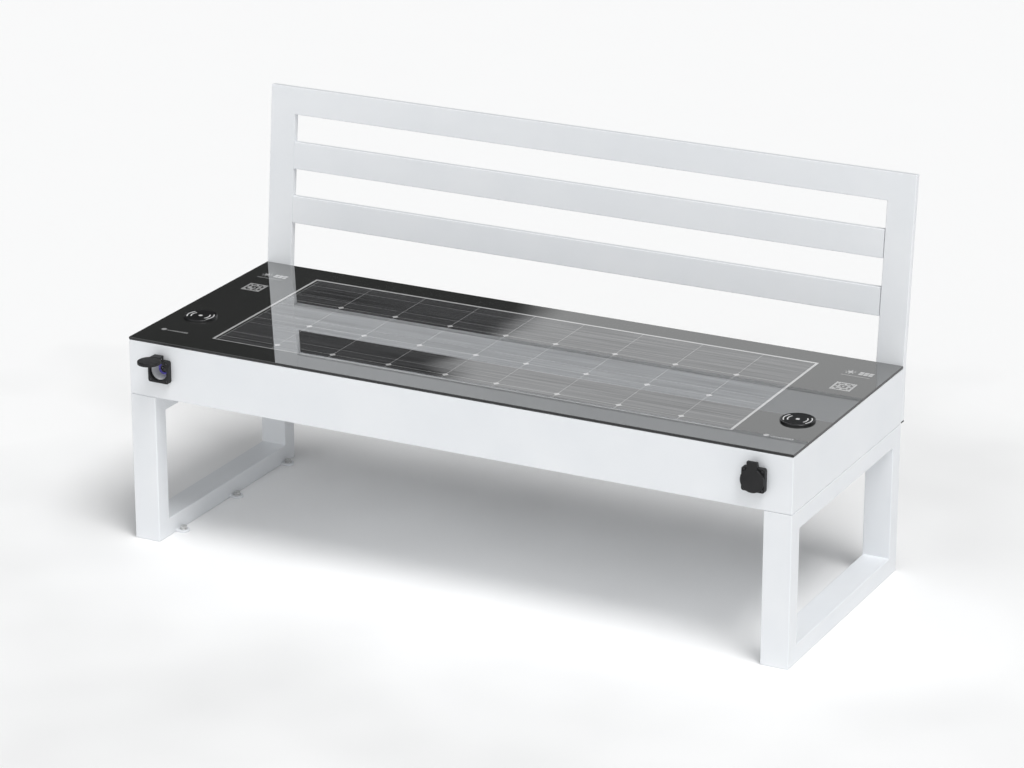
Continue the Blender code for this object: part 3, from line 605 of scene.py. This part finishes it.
def build_lug(side, sign, place):
    """A drilled lug with a bead of weld to the foot, and its washer and chamfered hexagon bolt."""
    low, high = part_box(f"lug_{side}_{place}")
    y = (low.y + high.y) / 2
    foot = sign * (HALF - LEG_WIDTH)
    radius = LUG_WIDTH / 2
    centre_x = foot - sign * (LUG_REACH - radius)
    tip = arc((centre_x, y), radius, 90, 270, 24)
    if sign < 0:
        tip = [(2 * centre_x - px, py) for px, py in tip]
    outline = [(foot, y + radius), *tip, (foot, y - radius)]
    spot = Matrix.Translation((centre_x, y, 0))
    lug = rounded(prism(outline, (0, LUG_THICKNESS)), 0.8 * MM)
    lug = cut(lug, cylinder(LUG_HOLE, (-THROUGH, THROUGH), spot, SMALL_STEPS))
    show(f"floor_lug_{side}_{place}", lug, coat_paint, [f"lug_{side}_{place}"])

    weld = bmesh.new()
    ripples, ripple_radius = 12, 2.2 * MM
    flattened = Matrix.Diagonal((0.8, 1, 0.8, 1))
    for step in range(ripples):
        along = y - radius + (step + 0.5) * LUG_WIDTH / ripples
        middle = Matrix.Translation((foot, along, LUG_THICKNESS))
        bmesh.ops.create_icosphere(weld, subdivisions=2, radius=ripple_radius, matrix=middle @ flattened)
    show(f"lug_weld_{side}_{place}", weld, coat_paint)

    bolt_low, bolt_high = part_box(f"anchor_bolt_{side}_{place}")
    seat, top, end = LUG_THICKNESS + GAP, bolt_high.z, bolt_low.z
    shank, washer, washer_top = 4 * MM, 8.5 * MM, seat + 1.6 * MM
    lower_edge, upper_edge = 0.3 * MM, 0.4 * MM
    body = turned([
        (0, end), (shank, end), (shank, seat), (washer - lower_edge, seat), (washer, seat + lower_edge),
        (washer, washer_top - upper_edge), (washer - upper_edge, washer_top), (0, washer_top),
    ], spot, SMALL_STEPS)
    head = prism(hexagon(7.5 * MM), (washer_top - 0.5 * MM, top), spot)
    cone, face = 9 * MM, 6.2 * MM
    chamfer = turned([(0, 0), (cone, 0), (cone, top - 1.6 * MM), (face, top), (0, top)], spot, SMALL_STEPS)
    bolt = join(body, combined(head, chamfer, "INTERSECT"))
    replaced = [f"anchor_bolt_{side}_{place}"]
    show(f"anchor_screw_{side}_{place}", bolt, zinc_paint, replaced)


def reclined(x, t, s):
    """A place on the backrest, t behind its front face and s along it from the bend at the seat's height."""
    if s <= -HALF_BEND:
        return (x, POST_FRONT + t, SEAT_TOP + s)
    if s >= HALF_BEND:
        lean, rise = math.sin(RECLINE), math.cos(RECLINE)
        return (x, POST_FRONT + s * lean + t * rise, SEAT_TOP + s * rise - t * lean)
    angle = RECLINE * (s + HALF_BEND) / (2 * HALF_BEND)
    reach = BEND_RADIUS - t
    y = POST_FRONT + BEND_RADIUS - reach * math.cos(angle)
    z = SEAT_TOP - HALF_BEND + reach * math.sin(angle)
    return (x, y, z)


def build_backrest():
    """Posts and top rail as one welded frame, with the two slats set between the posts."""
    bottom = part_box("post_left")[0].z - SEAT_TOP
    bend = [HALF_BEND * (2 * i / BEND_STEPS - 1) for i in range(BEND_STEPS + 1)]
    along = [bottom, *bend, BACK_LENGTH - POST_WIDTH, BACK_LENGTH]
    inner = HALF - POST_WIDTH
    rail_row = len(along) - 2
    back = grid_frame(
        (-HALF, -inner, inner, HALF),
        along,
        lambda i, j: i != 1 or j == rail_row,
        (0, POST_THICKNESS),
        lambda x, s, t: reclined(x, t, s),
    )
    rounded(back, BACK_EDGE, 4)
    show("backrest_frame", back, coat_paint, ["post_left", "post_right", "top_rail"])

    for index, place in enumerate(("upper", "lower"), start=1):
        top = BACK_LENGTH - SLAT_PITCH * index
        slat = grid_frame(
            (-inner + SLAT_END_GAPS[0], inner - SLAT_END_GAPS[1]),
            (top - POST_WIDTH, top),
            lambda i, j: True,
            (0, POST_THICKNESS),
            lambda x, s, t: reclined(x, t, s),
        )
        long_edges = [e for e in slat.edges if abs(e.verts[0].co.x - e.verts[1].co.x) > THROUGH]
        rounded(slat, BACK_EDGE, 4, lambda edge: edge in long_edges)
        show(f"back_slat_{place}", slat, coat_paint, [f"slat_{place}"])

    for side in SIDES:
        low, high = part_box(f"post_cap_{side}")
        thickness = 2.5 * MM
        cap = rounded(block((low.x, high.x), (low.y, high.y), (low.z, low.z + thickness)), 0.7 * MM)
        show(f"post_plug_{side}", cap, plastic_paint, [f"post_cap_{side}"])
        for place in ("upper", "lower"):
            build_post_bolt(side, place)


def build_post_bolt(side, place):
    """A dome-headed bolt with a hexagon socket, on the back of a post."""
    low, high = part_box(f"post_bolt_{side}_{place}")
    centre = Vector(((low.x + high.x) / 2, POST_FRONT + POST_THICKNESS, (low.z + high.z) / 2))
    spot = Matrix.Translation(centre) @ Matrix.Rotation(math.radians(-90), 4, "X")
    dome_radius, dome_height, rise = 7 * MM, 4.1 * MM, 0.35 * MM
    dome = [(dome_radius * math.cos(t), rise + dome_height * math.sin(t))
            for t in (math.radians(90 * i / 10) for i in range(10))]
    shank, end = 4 * MM, low.y - centre.y
    head = turned([(0, end), (shank, end), (shank, rise), *dome, (0, rise + dome_height)], spot, SMALL_STEPS)
    socket = prism(hexagon(2.6 * MM), (rise + 1.6 * MM, rise + 2 * dome_height), spot)
    bolt = cut(head, socket)
    replaced = [f"post_bolt_{side}_{place}"]
    show(f"post_screw_{side}_{place}", bolt, zinc_paint, replaced)


# ---------------------------------------------------------------- glass and cells


def build_glass():
    """The dark-backed glass with a polished arris, on its rubber."""
    glass = rounded(copied("glass_top"), 0.2 * MM, 2)
    for face in glass.faces:
        face.material_index = int(abs(face.normal.z) < 0.5)
    show("seat_glass", glass, [frit_paint, edge_paint], ["glass_top"])
    repaint(rubber_paint, "glass_gasket")


def cell_steps(low, high, gaps, chamfer):
    """The stretches of cells and gaps along one axis, as (start, end, kind)."""
    steps = []
    start, after_gap = low, False
    for gap in [*gaps, None]:
        end = high if gap is None else gap - CELL_GAP / 2
        if after_gap:
            steps.append((start, start + chamfer, "after"))
            start += chamfer
        if gap is None:
            steps.append((start, end, "cell"))
            break
        steps.append((start, end - chamfer, "cell"))
        steps.append((end - chamfer, end, "before"))
        steps.append((end, end + CELL_GAP, "gap"))
        start, after_gap = end + CELL_GAP, True
    return steps


def with_busbars(steps, row_middles):
    """The same stretches, with the thin busbars laid across the cells."""
    bars = [(middle + offset - BUSBAR_WIDTH / 2, middle + offset + BUSBAR_WIDTH / 2)
            for middle in row_middles for offset in (-BUSBAR_OFFSET, BUSBAR_OFFSET)]
    split = []
    for start, end, kind in steps:
        for low, high in sorted(bars):
            if kind == "cell" and start < low and high < end:
                split += [(start, low, "cell"), (low, high, "bus")]
                start = high
        split.append((start, end, kind))
    return split


def build_cells():
    """The laminate as one thin mosaic of chamfered cells, busbars, backsheet and border."""
    low_x, high_x = -FIELD_HALF, FIELD_HALF
    low_y, high_y = [SEAT_FRONT + back for back in FIELD_BACK]
    row_gaps = [SEAT_FRONT + gap for gap in ROW_GAPS]
    end_bus = 2 * MM
    inset = BORDER + end_bus
    columns = [
        (low_x, low_x + BORDER, "line"),
        (low_x + BORDER, low_x + 2 * BORDER, "margin"),
        (low_x + 2 * BORDER, low_x + 2 * BORDER + end_bus, "bus"),
        *cell_steps(low_x + BORDER + inset, high_x - BORDER, COLUMN_GAPS, CELL_CHAMFER),
        (high_x - BORDER, high_x, "line"),
    ]
    edges = [*row_gaps, high_y - BORDER]
    middles = [(a + b) / 2 for a, b in zip(edges, edges[1:])]
    rows = [
        (low_y, low_y + FRONT_BORDER, "line"),
        *with_busbars(cell_steps(low_y + FRONT_BORDER, high_y - BORDER, row_gaps, CELL_CHAMFER), middles),
        (high_y - BORDER, high_y, "line"),
    ]
    white, cell, bus, margin = range(4)
    form = bmesh.new()
    corners = {}

    def corner(x, y):
        key = (round(x / MM, 3), round(y / MM, 3))
        if key not in corners:
            corners[key] = form.verts.new((x, y, SEAT_TOP + LAYER))
        return corners[key]

    # The corner of each square at a cell's corner that the chamfer takes off
    chamfered = {
        ("after", "after"): 0,
        ("before", "after"): 1,
        ("before", "before"): 2,
        ("after", "before"): 3,
    }
    for x0, x1, across in columns:
        for y0, y1, along in rows:
            square = [corner(x0, y0), corner(x1, y0), corner(x1, y1), corner(x0, y1)]
            if (across, along) in chamfered:
                first = chamfered[across, along]
                tip, *others = square[first:] + square[:first]
                form.faces.new((tip, others[0], others[2])).material_index = white
                form.faces.new(others).material_index = cell
                continue
            if "line" in (across, along) or "gap" in (across, along):
                kind = white
            elif across == "margin":
                kind = margin
            elif "bus" in (across, along):
                kind = bus
            else:
                kind = cell
            form.faces.new(square).material_index = kind

    rim = [edge for edge in form.edges if edge.is_boundary]
    skirt = bmesh.ops.extrude_edge_only(form, edges=rim)["geom"]
    low_verts = [part for part in skirt if isinstance(part, bmesh.types.BMVert)]
    bmesh.ops.translate(form, verts=low_verts, vec=(0, 0, -2 * LAYER))
    low_edges = [part for part in skirt if isinstance(part, bmesh.types.BMEdge) and part.is_boundary]
    bmesh.ops.contextual_create(form, geom=low_edges)
    bmesh.ops.recalc_face_normals(form, faces=form.faces)
    paints = [backsheet_paint, cell_paint, busbar_paint, frit_paint]
    show("cell_laminate", form, paints, ["pv_laminate"])


def build_prints(side, sign):
    """Generic marks printed on the glass: a sun beside a small panel, a block pattern and a row of bars."""
    heights = (SEAT_TOP - LAYER, SEAT_TOP + LAYER)
    marks = []

    def spot(x, back):
        return Matrix.Translation((sign * PRINT_X + x, SEAT_FRONT + back, 0))

    sun = spot(-17 * MM, SIGN_BACK)
    marks.append(prism(arc((0, 0), 6 * MM, 0, 345, 23), heights, sun))
    for ray in range(8):
        turn = Matrix.Rotation(math.tau * ray / 8, 4, "Z")
        marks.append(block((8 * MM, 12 * MM), (-1 * MM, 1 * MM), heights, sun @ turn))
    for column in range(3):
        for row in range(2):
            x, y = (2 + 10.5 * column) * MM, (-9 + 9.5 * row) * MM
            marks.append(block((x, x + 9 * MM), (y, y + 8 * MM), heights, spot(0, SIGN_BACK)))
    marks.append(block((-30 * MM, 32 * MM), (-1 * MM, 0.4 * MM), heights, spot(0, SIGN_LINE_BACK)))

    blocks, pitch = 9, 5 * MM
    for i in range(blocks):
        for j in range(blocks):
            ring = max(abs(i - blocks // 2), abs(j - blocks // 2))
            if ring % 2 == 0 or (i * j + i + j) % 3 == 0:
                x, y = (i - blocks / 2) * pitch, (j - blocks / 2) * pitch
                size = pitch - 0.6 * MM
                marks.append(block((x, x + size), (y, y + size), heights, spot(3 * MM, BLOCKS_BACK)))

    strip = spot(1 * MM, BARS_BACK)
    marks.append(prism(arc((-26 * MM, 0), 6 * MM, 0, 340, 17), heights, strip))
    for bar in range(9):
        x = (-16 + 5.5 * bar) * MM
        marks.append(block((x, x + 3.2 * MM), (-4 * MM, (0.4 * bar - 0.5) * MM), heights, strip))
    show(f"glass_prints_{side}", together(*marks), print_paint)


# ---------------------------------------------------------------- charging discs


def build_disc(side):
    """A satin black charging disc with a raised gloss rim and a printed waves mark, and its ring nut."""
    low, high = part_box(f"charger_{side}")
    centre = Vector(((low.x + high.x) / 2, (low.y + high.y) / 2, SEAT_TOP))
    spot = Matrix.Translation(centre)
    rim, top, plate = (high.x - low.x) / 2, DISC_HEIGHT, 3.4 * MM
    barrel, end = 28 * MM, low.z - SEAT_TOP
    soft = 1.6 * MM
    edge = arc((rim - soft, top - soft), soft, 90, 0, 6)
    disc = turned([
        (0, plate), (rim - 3.8 * MM, plate), (rim - 3.3 * MM, plate + 0.2 * MM), (rim - 2.8 * MM, top),
        *edge, (rim, GAP), (barrel, GAP), (barrel, end), (0, end),
    ], spot)
    for face in disc.faces:
        spread = (face.calc_center_median() - centre).xy.length
        face.material_index = int(spread > rim - 3.5 * MM)
    show(f"charging_disc_{side}", disc, [disc_paint, gloss_paint], [f"charger_{side}"])

    heights = (plate - 0.1 * MM, plate + 0.15 * MM)
    marks = [prism(rounded_rectangle(8 * MM, 8 * MM, 3 * MM), heights, spot)]
    half_wave, reach = 1.3 * MM, 36
    for radius in (20 * MM, 28.5 * MM):
        for middle in (0, 180):
            outer = arc((0, 0), radius + half_wave, middle - reach, middle + reach, 16)
            inner = arc((0, 0), radius - half_wave, middle + reach, middle - reach, 16)
            marks.append(prism(outer + inner, heights, spot))
    show(f"disc_mark_{side}", together(*marks), mark_paint)

    nut_low, nut_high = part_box(f"charger_nut_{side}")
    bore, outer = barrel + GAP, (nut_high.x - nut_low.x) / 2
    bottom, crown = nut_low.z - SEAT_TOP, nut_high.z - SEAT_TOP
    nut = turned([(bore, bottom), (outer, bottom), (outer, crown), (bore, crown)], spot)
    notches, depth, half = 12, 1.5 * MM, 2 * MM
    heights = (bottom - THROUGH, crown + THROUGH)
    grips = []
    for notch in range(notches):
        turn = Matrix.Rotation(math.tau * notch / notches, 4, "Z")
        grips.append(block((outer - depth, outer + 3 * MM), (-half, half), heights, spot @ turn))
    nut = cut(nut, together(*grips))
    show(f"disc_nut_{side}", nut, plastic_paint, [f"charger_nut_{side}"])


# ---------------------------------------------------------------- sockets and lids


def socket_place(side):
    """From the socket's centre on the front panel: X across, Y up and Z out towards the user."""
    low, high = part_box(f"light_ring_{side}")
    centre = ((low.x + high.x) / 2, SEAT_FRONT, (low.z + high.z) / 2)
    return Matrix.Translation(centre) @ Matrix.Rotation(math.radians(90), 4, "X")


def hinge_place(side):
    """From the hinge axis, with the same directions as at the socket."""
    joint = next(joint for joint in frame["joints"] if joint["child"] == f"{side}_lid")
    return Matrix.Translation(joint["pos_m"]) @ Matrix.Rotation(math.radians(90), 4, "X")


def build_housing(side):
    """The square flange with rounded corners and sunk screws, its barrel and the fixed half of the hinge."""
    spot, hinge = socket_place(side), hinge_place(side)
    outline = rounded_rectangle(FLANGE_SIDE, FLANGE_SIDE, 5 * MM)
    flange = rounded(prism(outline, (FLANGE_BACK, FLANGE_FRONT), spot), 1 * MM)
    barrel = cylinder(BARREL_RADIUS, (FLANGE_FRONT / 2, BARREL_END), spot)
    half_web, web_low, web_high = MIDDLE_KNUCKLE / 2 - GAP, FLANGE_SIDE / 2 - 5 * MM, 27 * MM
    web_depths = (11.6 * MM, FLANGE_FRONT - 0.3 * MM)
    web = block((-half_web, half_web), (web_low, web_high), web_depths, spot)
    knuckle = rod(CORE_RADIUS, (-MIDDLE_KNUCKLE / 2, MIDDLE_KNUCKLE / 2), hinge, 0.4 * MM)
    housing = join(flange, barrel, web, knuckle)

    # The cutter widens at the mouth, to leave a chamfer there
    behind, before = 2 * BARREL_END, FLANGE_FRONT + 1.3 * MM
    bore = turned([
        (0, behind), (BORE_RADIUS, behind), (BORE_RADIUS, FLANGE_FRONT - 0.7 * MM),
        (BORE_RADIUS + 2 * MM, before), (0, before),
    ], spot)
    housing = cut(housing, rod(PIN_HOLE, (-THROUGH, THROUGH), hinge), bore)

    base, top = FLANGE_FRONT - 2.2 * MM, FLANGE_FRONT - 0.5 * MM
    head_radius, face, seat = 2.6 * MM, 1.9 * MM, base + 0.05 * MM
    screws = []
    for across in (-FLANGE_SCREW, FLANGE_SCREW):
        for up in (-FLANGE_SCREW, FLANGE_SCREW):
            corner = spot @ Matrix.Translation((across, up, 0))
            housing = cut(housing, cylinder(3 * MM, (base, FLANGE_FRONT + 1 * MM), corner, SMALL_STEPS))
            head = turned([
                (0, seat), (head_radius, seat), (head_radius, top - 0.6 * MM), (face, top), (0, top),
            ], corner, SMALL_STEPS)
            screws.append(cross_cut(head, corner, top, 1.3 * MM))
    show(f"socket_body_{side}", housing, plastic_paint, [f"socket_housing_{side}"])
    show(f"flange_screws_{side}", together(*screws), case_paint)

    seal_side = FLANGE_SIDE - 2 * MM
    seal = prism(rounded_rectangle(seal_side, seal_side, 5 * MM), (GAP, GAP + 1.4 * MM), spot)
    seal = cut(seal, cylinder(22.3 * MM, (-THROUGH, THROUGH), spot))
    show(f"flange_seal_{side}", seal, rubber_paint, [f"socket_gasket_{side}"])
    half_pin = HINGE_WIDTH / 2 - GAP
    pin = rod(PIN_RADIUS, (-half_pin, half_pin), hinge, 0.3 * MM)
    show(f"lid_pin_{side}", pin, zinc_paint, [f"hinge_pin_{side}"])


def build_cup(side):
    """The black collar and pale conical wall of the socket, its glowing floor and the port block."""
    spot = socket_place(side)
    mouth, throat, rim = 19 * MM, 13.2 * MM, CUP_FRONT - 3 * MM
    wall = turned([(mouth, rim), (CUP_RADIUS, rim), (CUP_RADIUS, CUP_BACK), (throat, CUP_BACK)], spot)
    show(f"socket_wall_{side}", wall, cup_paint, [f"socket_cup_{side}"])
    lip_radius, collar_back = 0.4 * MM, rim + 0.02 * MM
    lip = arc((mouth + lip_radius, CUP_FRONT - lip_radius), lip_radius, 180, 90, 6)
    collar = turned([
        (mouth, collar_back), *lip, (CUP_RADIUS - lip_radius, CUP_FRONT),
        (CUP_RADIUS, CUP_FRONT - lip_radius), (CUP_RADIUS, collar_back),
    ], spot)
    show(f"socket_collar_{side}", collar, plastic_paint)

    hole, ring_back, soft = 9 * MM, RING_FRONT - 3 * MM, 0.5 * MM
    ring = turned([
        (hole, RING_FRONT - soft), (hole + soft, RING_FRONT), (CUP_RADIUS - soft, RING_FRONT),
        (CUP_RADIUS, RING_FRONT - soft), (CUP_RADIUS, ring_back), (hole, ring_back),
    ], spot)
    show(f"glow_ring_{side}", ring, light_paint, [f"light_ring_{side}"])

    boss, back = hole - GAP, ring_back - GAP
    module = turned([
        (0, RING_FRONT), (boss - soft, RING_FRONT), (boss, RING_FRONT - soft), (boss, back),
        (CUP_RADIUS, back), (CUP_RADIUS, BARREL_END), (0, BARREL_END),
    ], spot)
    rise = 3.6 * MM
    shells = []
    for up in (rise, -rise):
        module, shell = with_port(module, spot @ Matrix.Translation((0, up, 0)))
        shells.append(shell)
    show(f"port_block_{side}", module, plastic_paint, [f"port_module_{side}"])
    show(f"port_shells_{side}", together(*shells), zinc_paint)


def with_port(module, port):
    """The port block with one port cut into it and a tongue left in that, and the port's metal shell."""
    width, height, corner, floor = 12.2 * MM, 4.5 * MM, 0.6 * MM, RING_FRONT - 9 * MM
    module = cut(module, prism(rounded_rectangle(width, height, corner), (floor, RING_FRONT + THROUGH), port))
    half, tongue_top = width / 2 - 0.8 * MM, height / 2 - 0.6 * MM
    tongue_depths = (floor - 1 * MM, RING_FRONT - 0.5 * MM)
    tongue = block((-half, half), (tongue_top - 1.8 * MM, tongue_top), tongue_depths, port)
    module = join(module, tongue)

    play, wall = 0.05 * MM, 0.3 * MM
    outline = rounded_rectangle(width - play, height - play, corner)
    liner = prism(outline, (floor + 0.2 * MM, RING_FRONT - 0.1 * MM), port)
    hollow = rounded_rectangle(width - 2 * wall, height - 2 * wall, 0.4 * MM)
    inside = prism(hollow, (RING_FRONT - THROUGH, RING_FRONT + THROUGH), port)
    return module, cut(liner, inside)


def build_lid(side):
    """A round lid with a soft edge, swinging on two knuckles, with a sealing ring that fits the socket."""
    place = hinge_place(side)
    swung = Matrix.Translation(place.translation) @ Matrix.Rotation(-LID_SWINGS[side], 4, "X")
    place = swung @ Matrix.Rotation(math.radians(90), 4, "X")
    disc_place = place @ Matrix.Translation((0, LID_CENTRE, 0))
    outer, soft = KNUCKLE_RADIUS, 2.2 * MM
    edge = arc((LID_RADIUS - soft, LID_FACE - soft), soft, 0, 90, 8)
    back = 0.6 * MM
    disc = turned([
        (0, LID_INNER), (LID_RADIUS - back, LID_INNER), (LID_RADIUS, LID_INNER + back), *edge, (0, LID_FACE),
    ], disc_place)

    half, ease = HINGE_WIDTH / 2, 0.9 * MM
    tab_low = LID_CENTRE + LID_RADIUS - 8 * MM
    section = [
        (-outer, tab_low), (-LID_INNER, tab_low), (-LID_INNER, 0),
        (TAB_BACK[0], 0), (TAB_BACK[1], TAB_TOP), (-outer, TAB_TOP),
    ]
    tab = rounded(prism(section, (-half, half), place @ Matrix.Rotation(math.radians(90), 4, "Y")), ease)
    tab = cut(tab, cylinder(LID_RADIUS - 3 * MM, (LID_FACE - 0.1 * MM, THROUGH), disc_place))
    lid = join(disc, tab, rod(KNUCKLE_RADIUS, (-half, half), place, ease))

    notch = (-MIDDLE_KNUCKLE / 2 - 0.4 * MM, MIDDLE_KNUCKLE / 2 + 0.4 * MM)
    lid = cut(
        lid,
        rod(CORE_RADIUS + 0.5 * MM, notch, place),
        block(notch, (-THROUGH, THROUGH), (-THROUGH, LID_INNER), place),
        rod(PIN_HOLE, (-THROUGH, THROUGH), place),
    )
    body = f"{side}_lid"
    show(f"lid_shell_{side}", lid, plastic_paint, [f"lid_{side}"], body)

    seal_outer, seal_inner, bevel = 19.2 * MM, 17.4 * MM, 0.5 * MM
    root, tip = LID_INNER + 0.1 * MM, LID_INNER - 1.8 * MM
    seal = turned([
        (seal_inner, root), (seal_outer, root), (seal_outer, tip + bevel), (seal_outer - bevel, tip),
        (seal_inner + bevel, tip), (seal_inner, tip + bevel),
    ], disc_place)
    show(f"lid_seal_{side}", seal, rubber_paint, (), body)


# ---------------------------------------------------------------- inside the seat


def paint_inside():
    """The hidden pieces keep their CAD shapes."""
    repaint(galvanised_paint, "cross_member_left", "cross_member_right")
    repaint(case_paint, "battery_pack", "junction_box")
    repaint(alloy_paint, "charge_controller")
    repaint(rubber_paint, "wiring_loom")


# ---------------------------------------------------------------- studio


def build_studio():
    """A pale floor, a soft key light high on the right, a sky and the camera."""
    floor = bmesh.new()
    bmesh.ops.create_grid(floor, x_segments=1, y_segments=1, size=FLOOR_SIZE)
    ground = as_object(floor, "studio_floor")
    ground.location.z = -0.1 * MM  # so that it meets no underside face to face
    ground.data.materials.append(pale_floor())

    key = bpy.data.lights.new("key_light", "SUN")
    key.energy = KEY_STRENGTH
    key.angle = KEY_ANGLE
    lamp = bpy.data.objects.new("key_light", key)
    lamp.rotation_euler = Vector(KEY_TOWARDS).to_track_quat("Z", "Y").to_euler()
    bpy.context.scene.collection.objects.link(lamp)

    build_sky()

    lens = bpy.data.cameras.new("camera")
    lens.sensor_width = CAMERA_SENSOR
    lens.lens = CAMERA_LENS
    camera = bpy.data.objects.new("camera", lens)
    camera.location = CAMERA_PLACE
    camera.rotation_euler = (math.radians(90 - CAMERA_DROP), 0, math.radians(CAMERA_TURN))
    bpy.context.scene.collection.objects.link(camera)
    bpy.context.scene.camera = camera
    bpy.context.scene.view_settings.view_transform = "Standard"


def build_sky():
    """A broad soft light in front and overhead, and a pale backdrop behind that ends at a dark flag."""
    world = bpy.data.worlds.new("studio")
    bpy.context.scene.world = world
    world.use_nodes = True
    nodes, links = world.node_tree.nodes, world.node_tree.links
    direction = nodes.new("ShaderNodeTexCoord").outputs["Generated"]
    parts = nodes.new("ShaderNodeSeparateXYZ")
    links.new(direction, parts.inputs[0])

    def sums(operation, *values):
        """A Math node's result, from numbers and other nodes' results."""
        step = nodes.new("ShaderNodeMath")
        step.operation = operation
        for socket, value in zip(step.inputs, values):
            if isinstance(value, (int, float)):
                socket.default_value = value
            else:
                links.new(value, socket)
        return step.outputs[0]

    def fade(value, start, end):
        """0 at the start and 1 at the end, or the other way round if the end is lower."""
        step = nodes.new("ShaderNodeMapRange")
        step.interpolation_type = "SMOOTHSTEP"
        for socket, number in (("From Min", min(start, end)), ("From Max", max(start, end)),
                               ("To Min", float(start > end)), ("To Max", float(end > start))):
            step.inputs[socket].default_value = number
        links.new(value, step.inputs["Value"])
        return step.outputs[0]

    def degrees(value):
        return sums("MULTIPLY", value, 180 / math.pi)

    azimuth = degrees(sums("ARCTAN2", sums("MULTIPLY", parts.outputs["X"], -1), parts.outputs["Y"]))
    elevation = degrees(sums("ARCSINE", parts.outputs["Z"]))

    facing = nodes.new("ShaderNodeVectorMath")
    facing.operation = "DOT_PRODUCT"
    facing.inputs[1].default_value = Vector(SOFTBOX_TOWARDS).normalized()
    links.new(direction, facing.inputs[0])
    softbox = sums("MULTIPLY_ADD", fade(facing.outputs["Value"], -0.05, 1.05), SOFTBOX_LEVEL, DIM_LEVEL)

    cloud = nodes.new("ShaderNodeTexNoise")
    cloud.inputs["Scale"].default_value = 1.0
    cloud.inputs["Detail"].default_value = 3.0
    streaks = nodes.new("ShaderNodeMapping")
    streaks.inputs["Scale"].default_value = FLAG_STREAKS
    links.new(direction, streaks.inputs["Vector"])
    links.new(streaks.outputs["Vector"], cloud.inputs["Vector"])
    waver = sums("MULTIPLY", sums("SUBTRACT", cloud.outputs[0], 0.5), FLAG_WAVER)
    edge = sums("MULTIPLY_ADD", sums("SUBTRACT", elevation, FLAG_ELEVATION), FLAG_SLOPE, FLAG_AZIMUTH)
    lit = fade(sums("ADD", sums("SUBTRACT", azimuth, edge), waver), FLAG_SOFTNESS, -FLAG_SOFTNESS)
    for value, ends in ((azimuth, BACKDROP_RIGHT), (elevation, BACKDROP_BOTTOM), (elevation, BACKDROP_TOP)):
        lit = sums("MULTIPLY", lit, fade(value, *ends))
    level = sums("MULTIPLY_ADD", lit, BACKDROP_LEVEL, softbox)
    tint = nodes.new("ShaderNodeMix")
    tint.data_type = "RGBA"
    tint.inputs[0].default_value = 1.0
    tint.blend_type = "MULTIPLY"
    links.new(level, tint.inputs[6])
    tint.inputs[7].default_value = SKY_TINT
    links.new(tint.outputs[2], nodes["Background"].inputs["Color"])


def main():
    build_casing()
    for side, sign in SIDES.items():
        build_leg_frame(side, sign)
        for place in PLACES:
            build_lug(side, sign, place)
    build_backrest()
    build_glass()
    build_cells()
    for side, sign in SIDES.items():
        build_prints(side, sign)
        build_disc(side)
        build_housing(side)
        build_cup(side)
        build_lid(side)
    paint_inside()
    build_studio()


main()
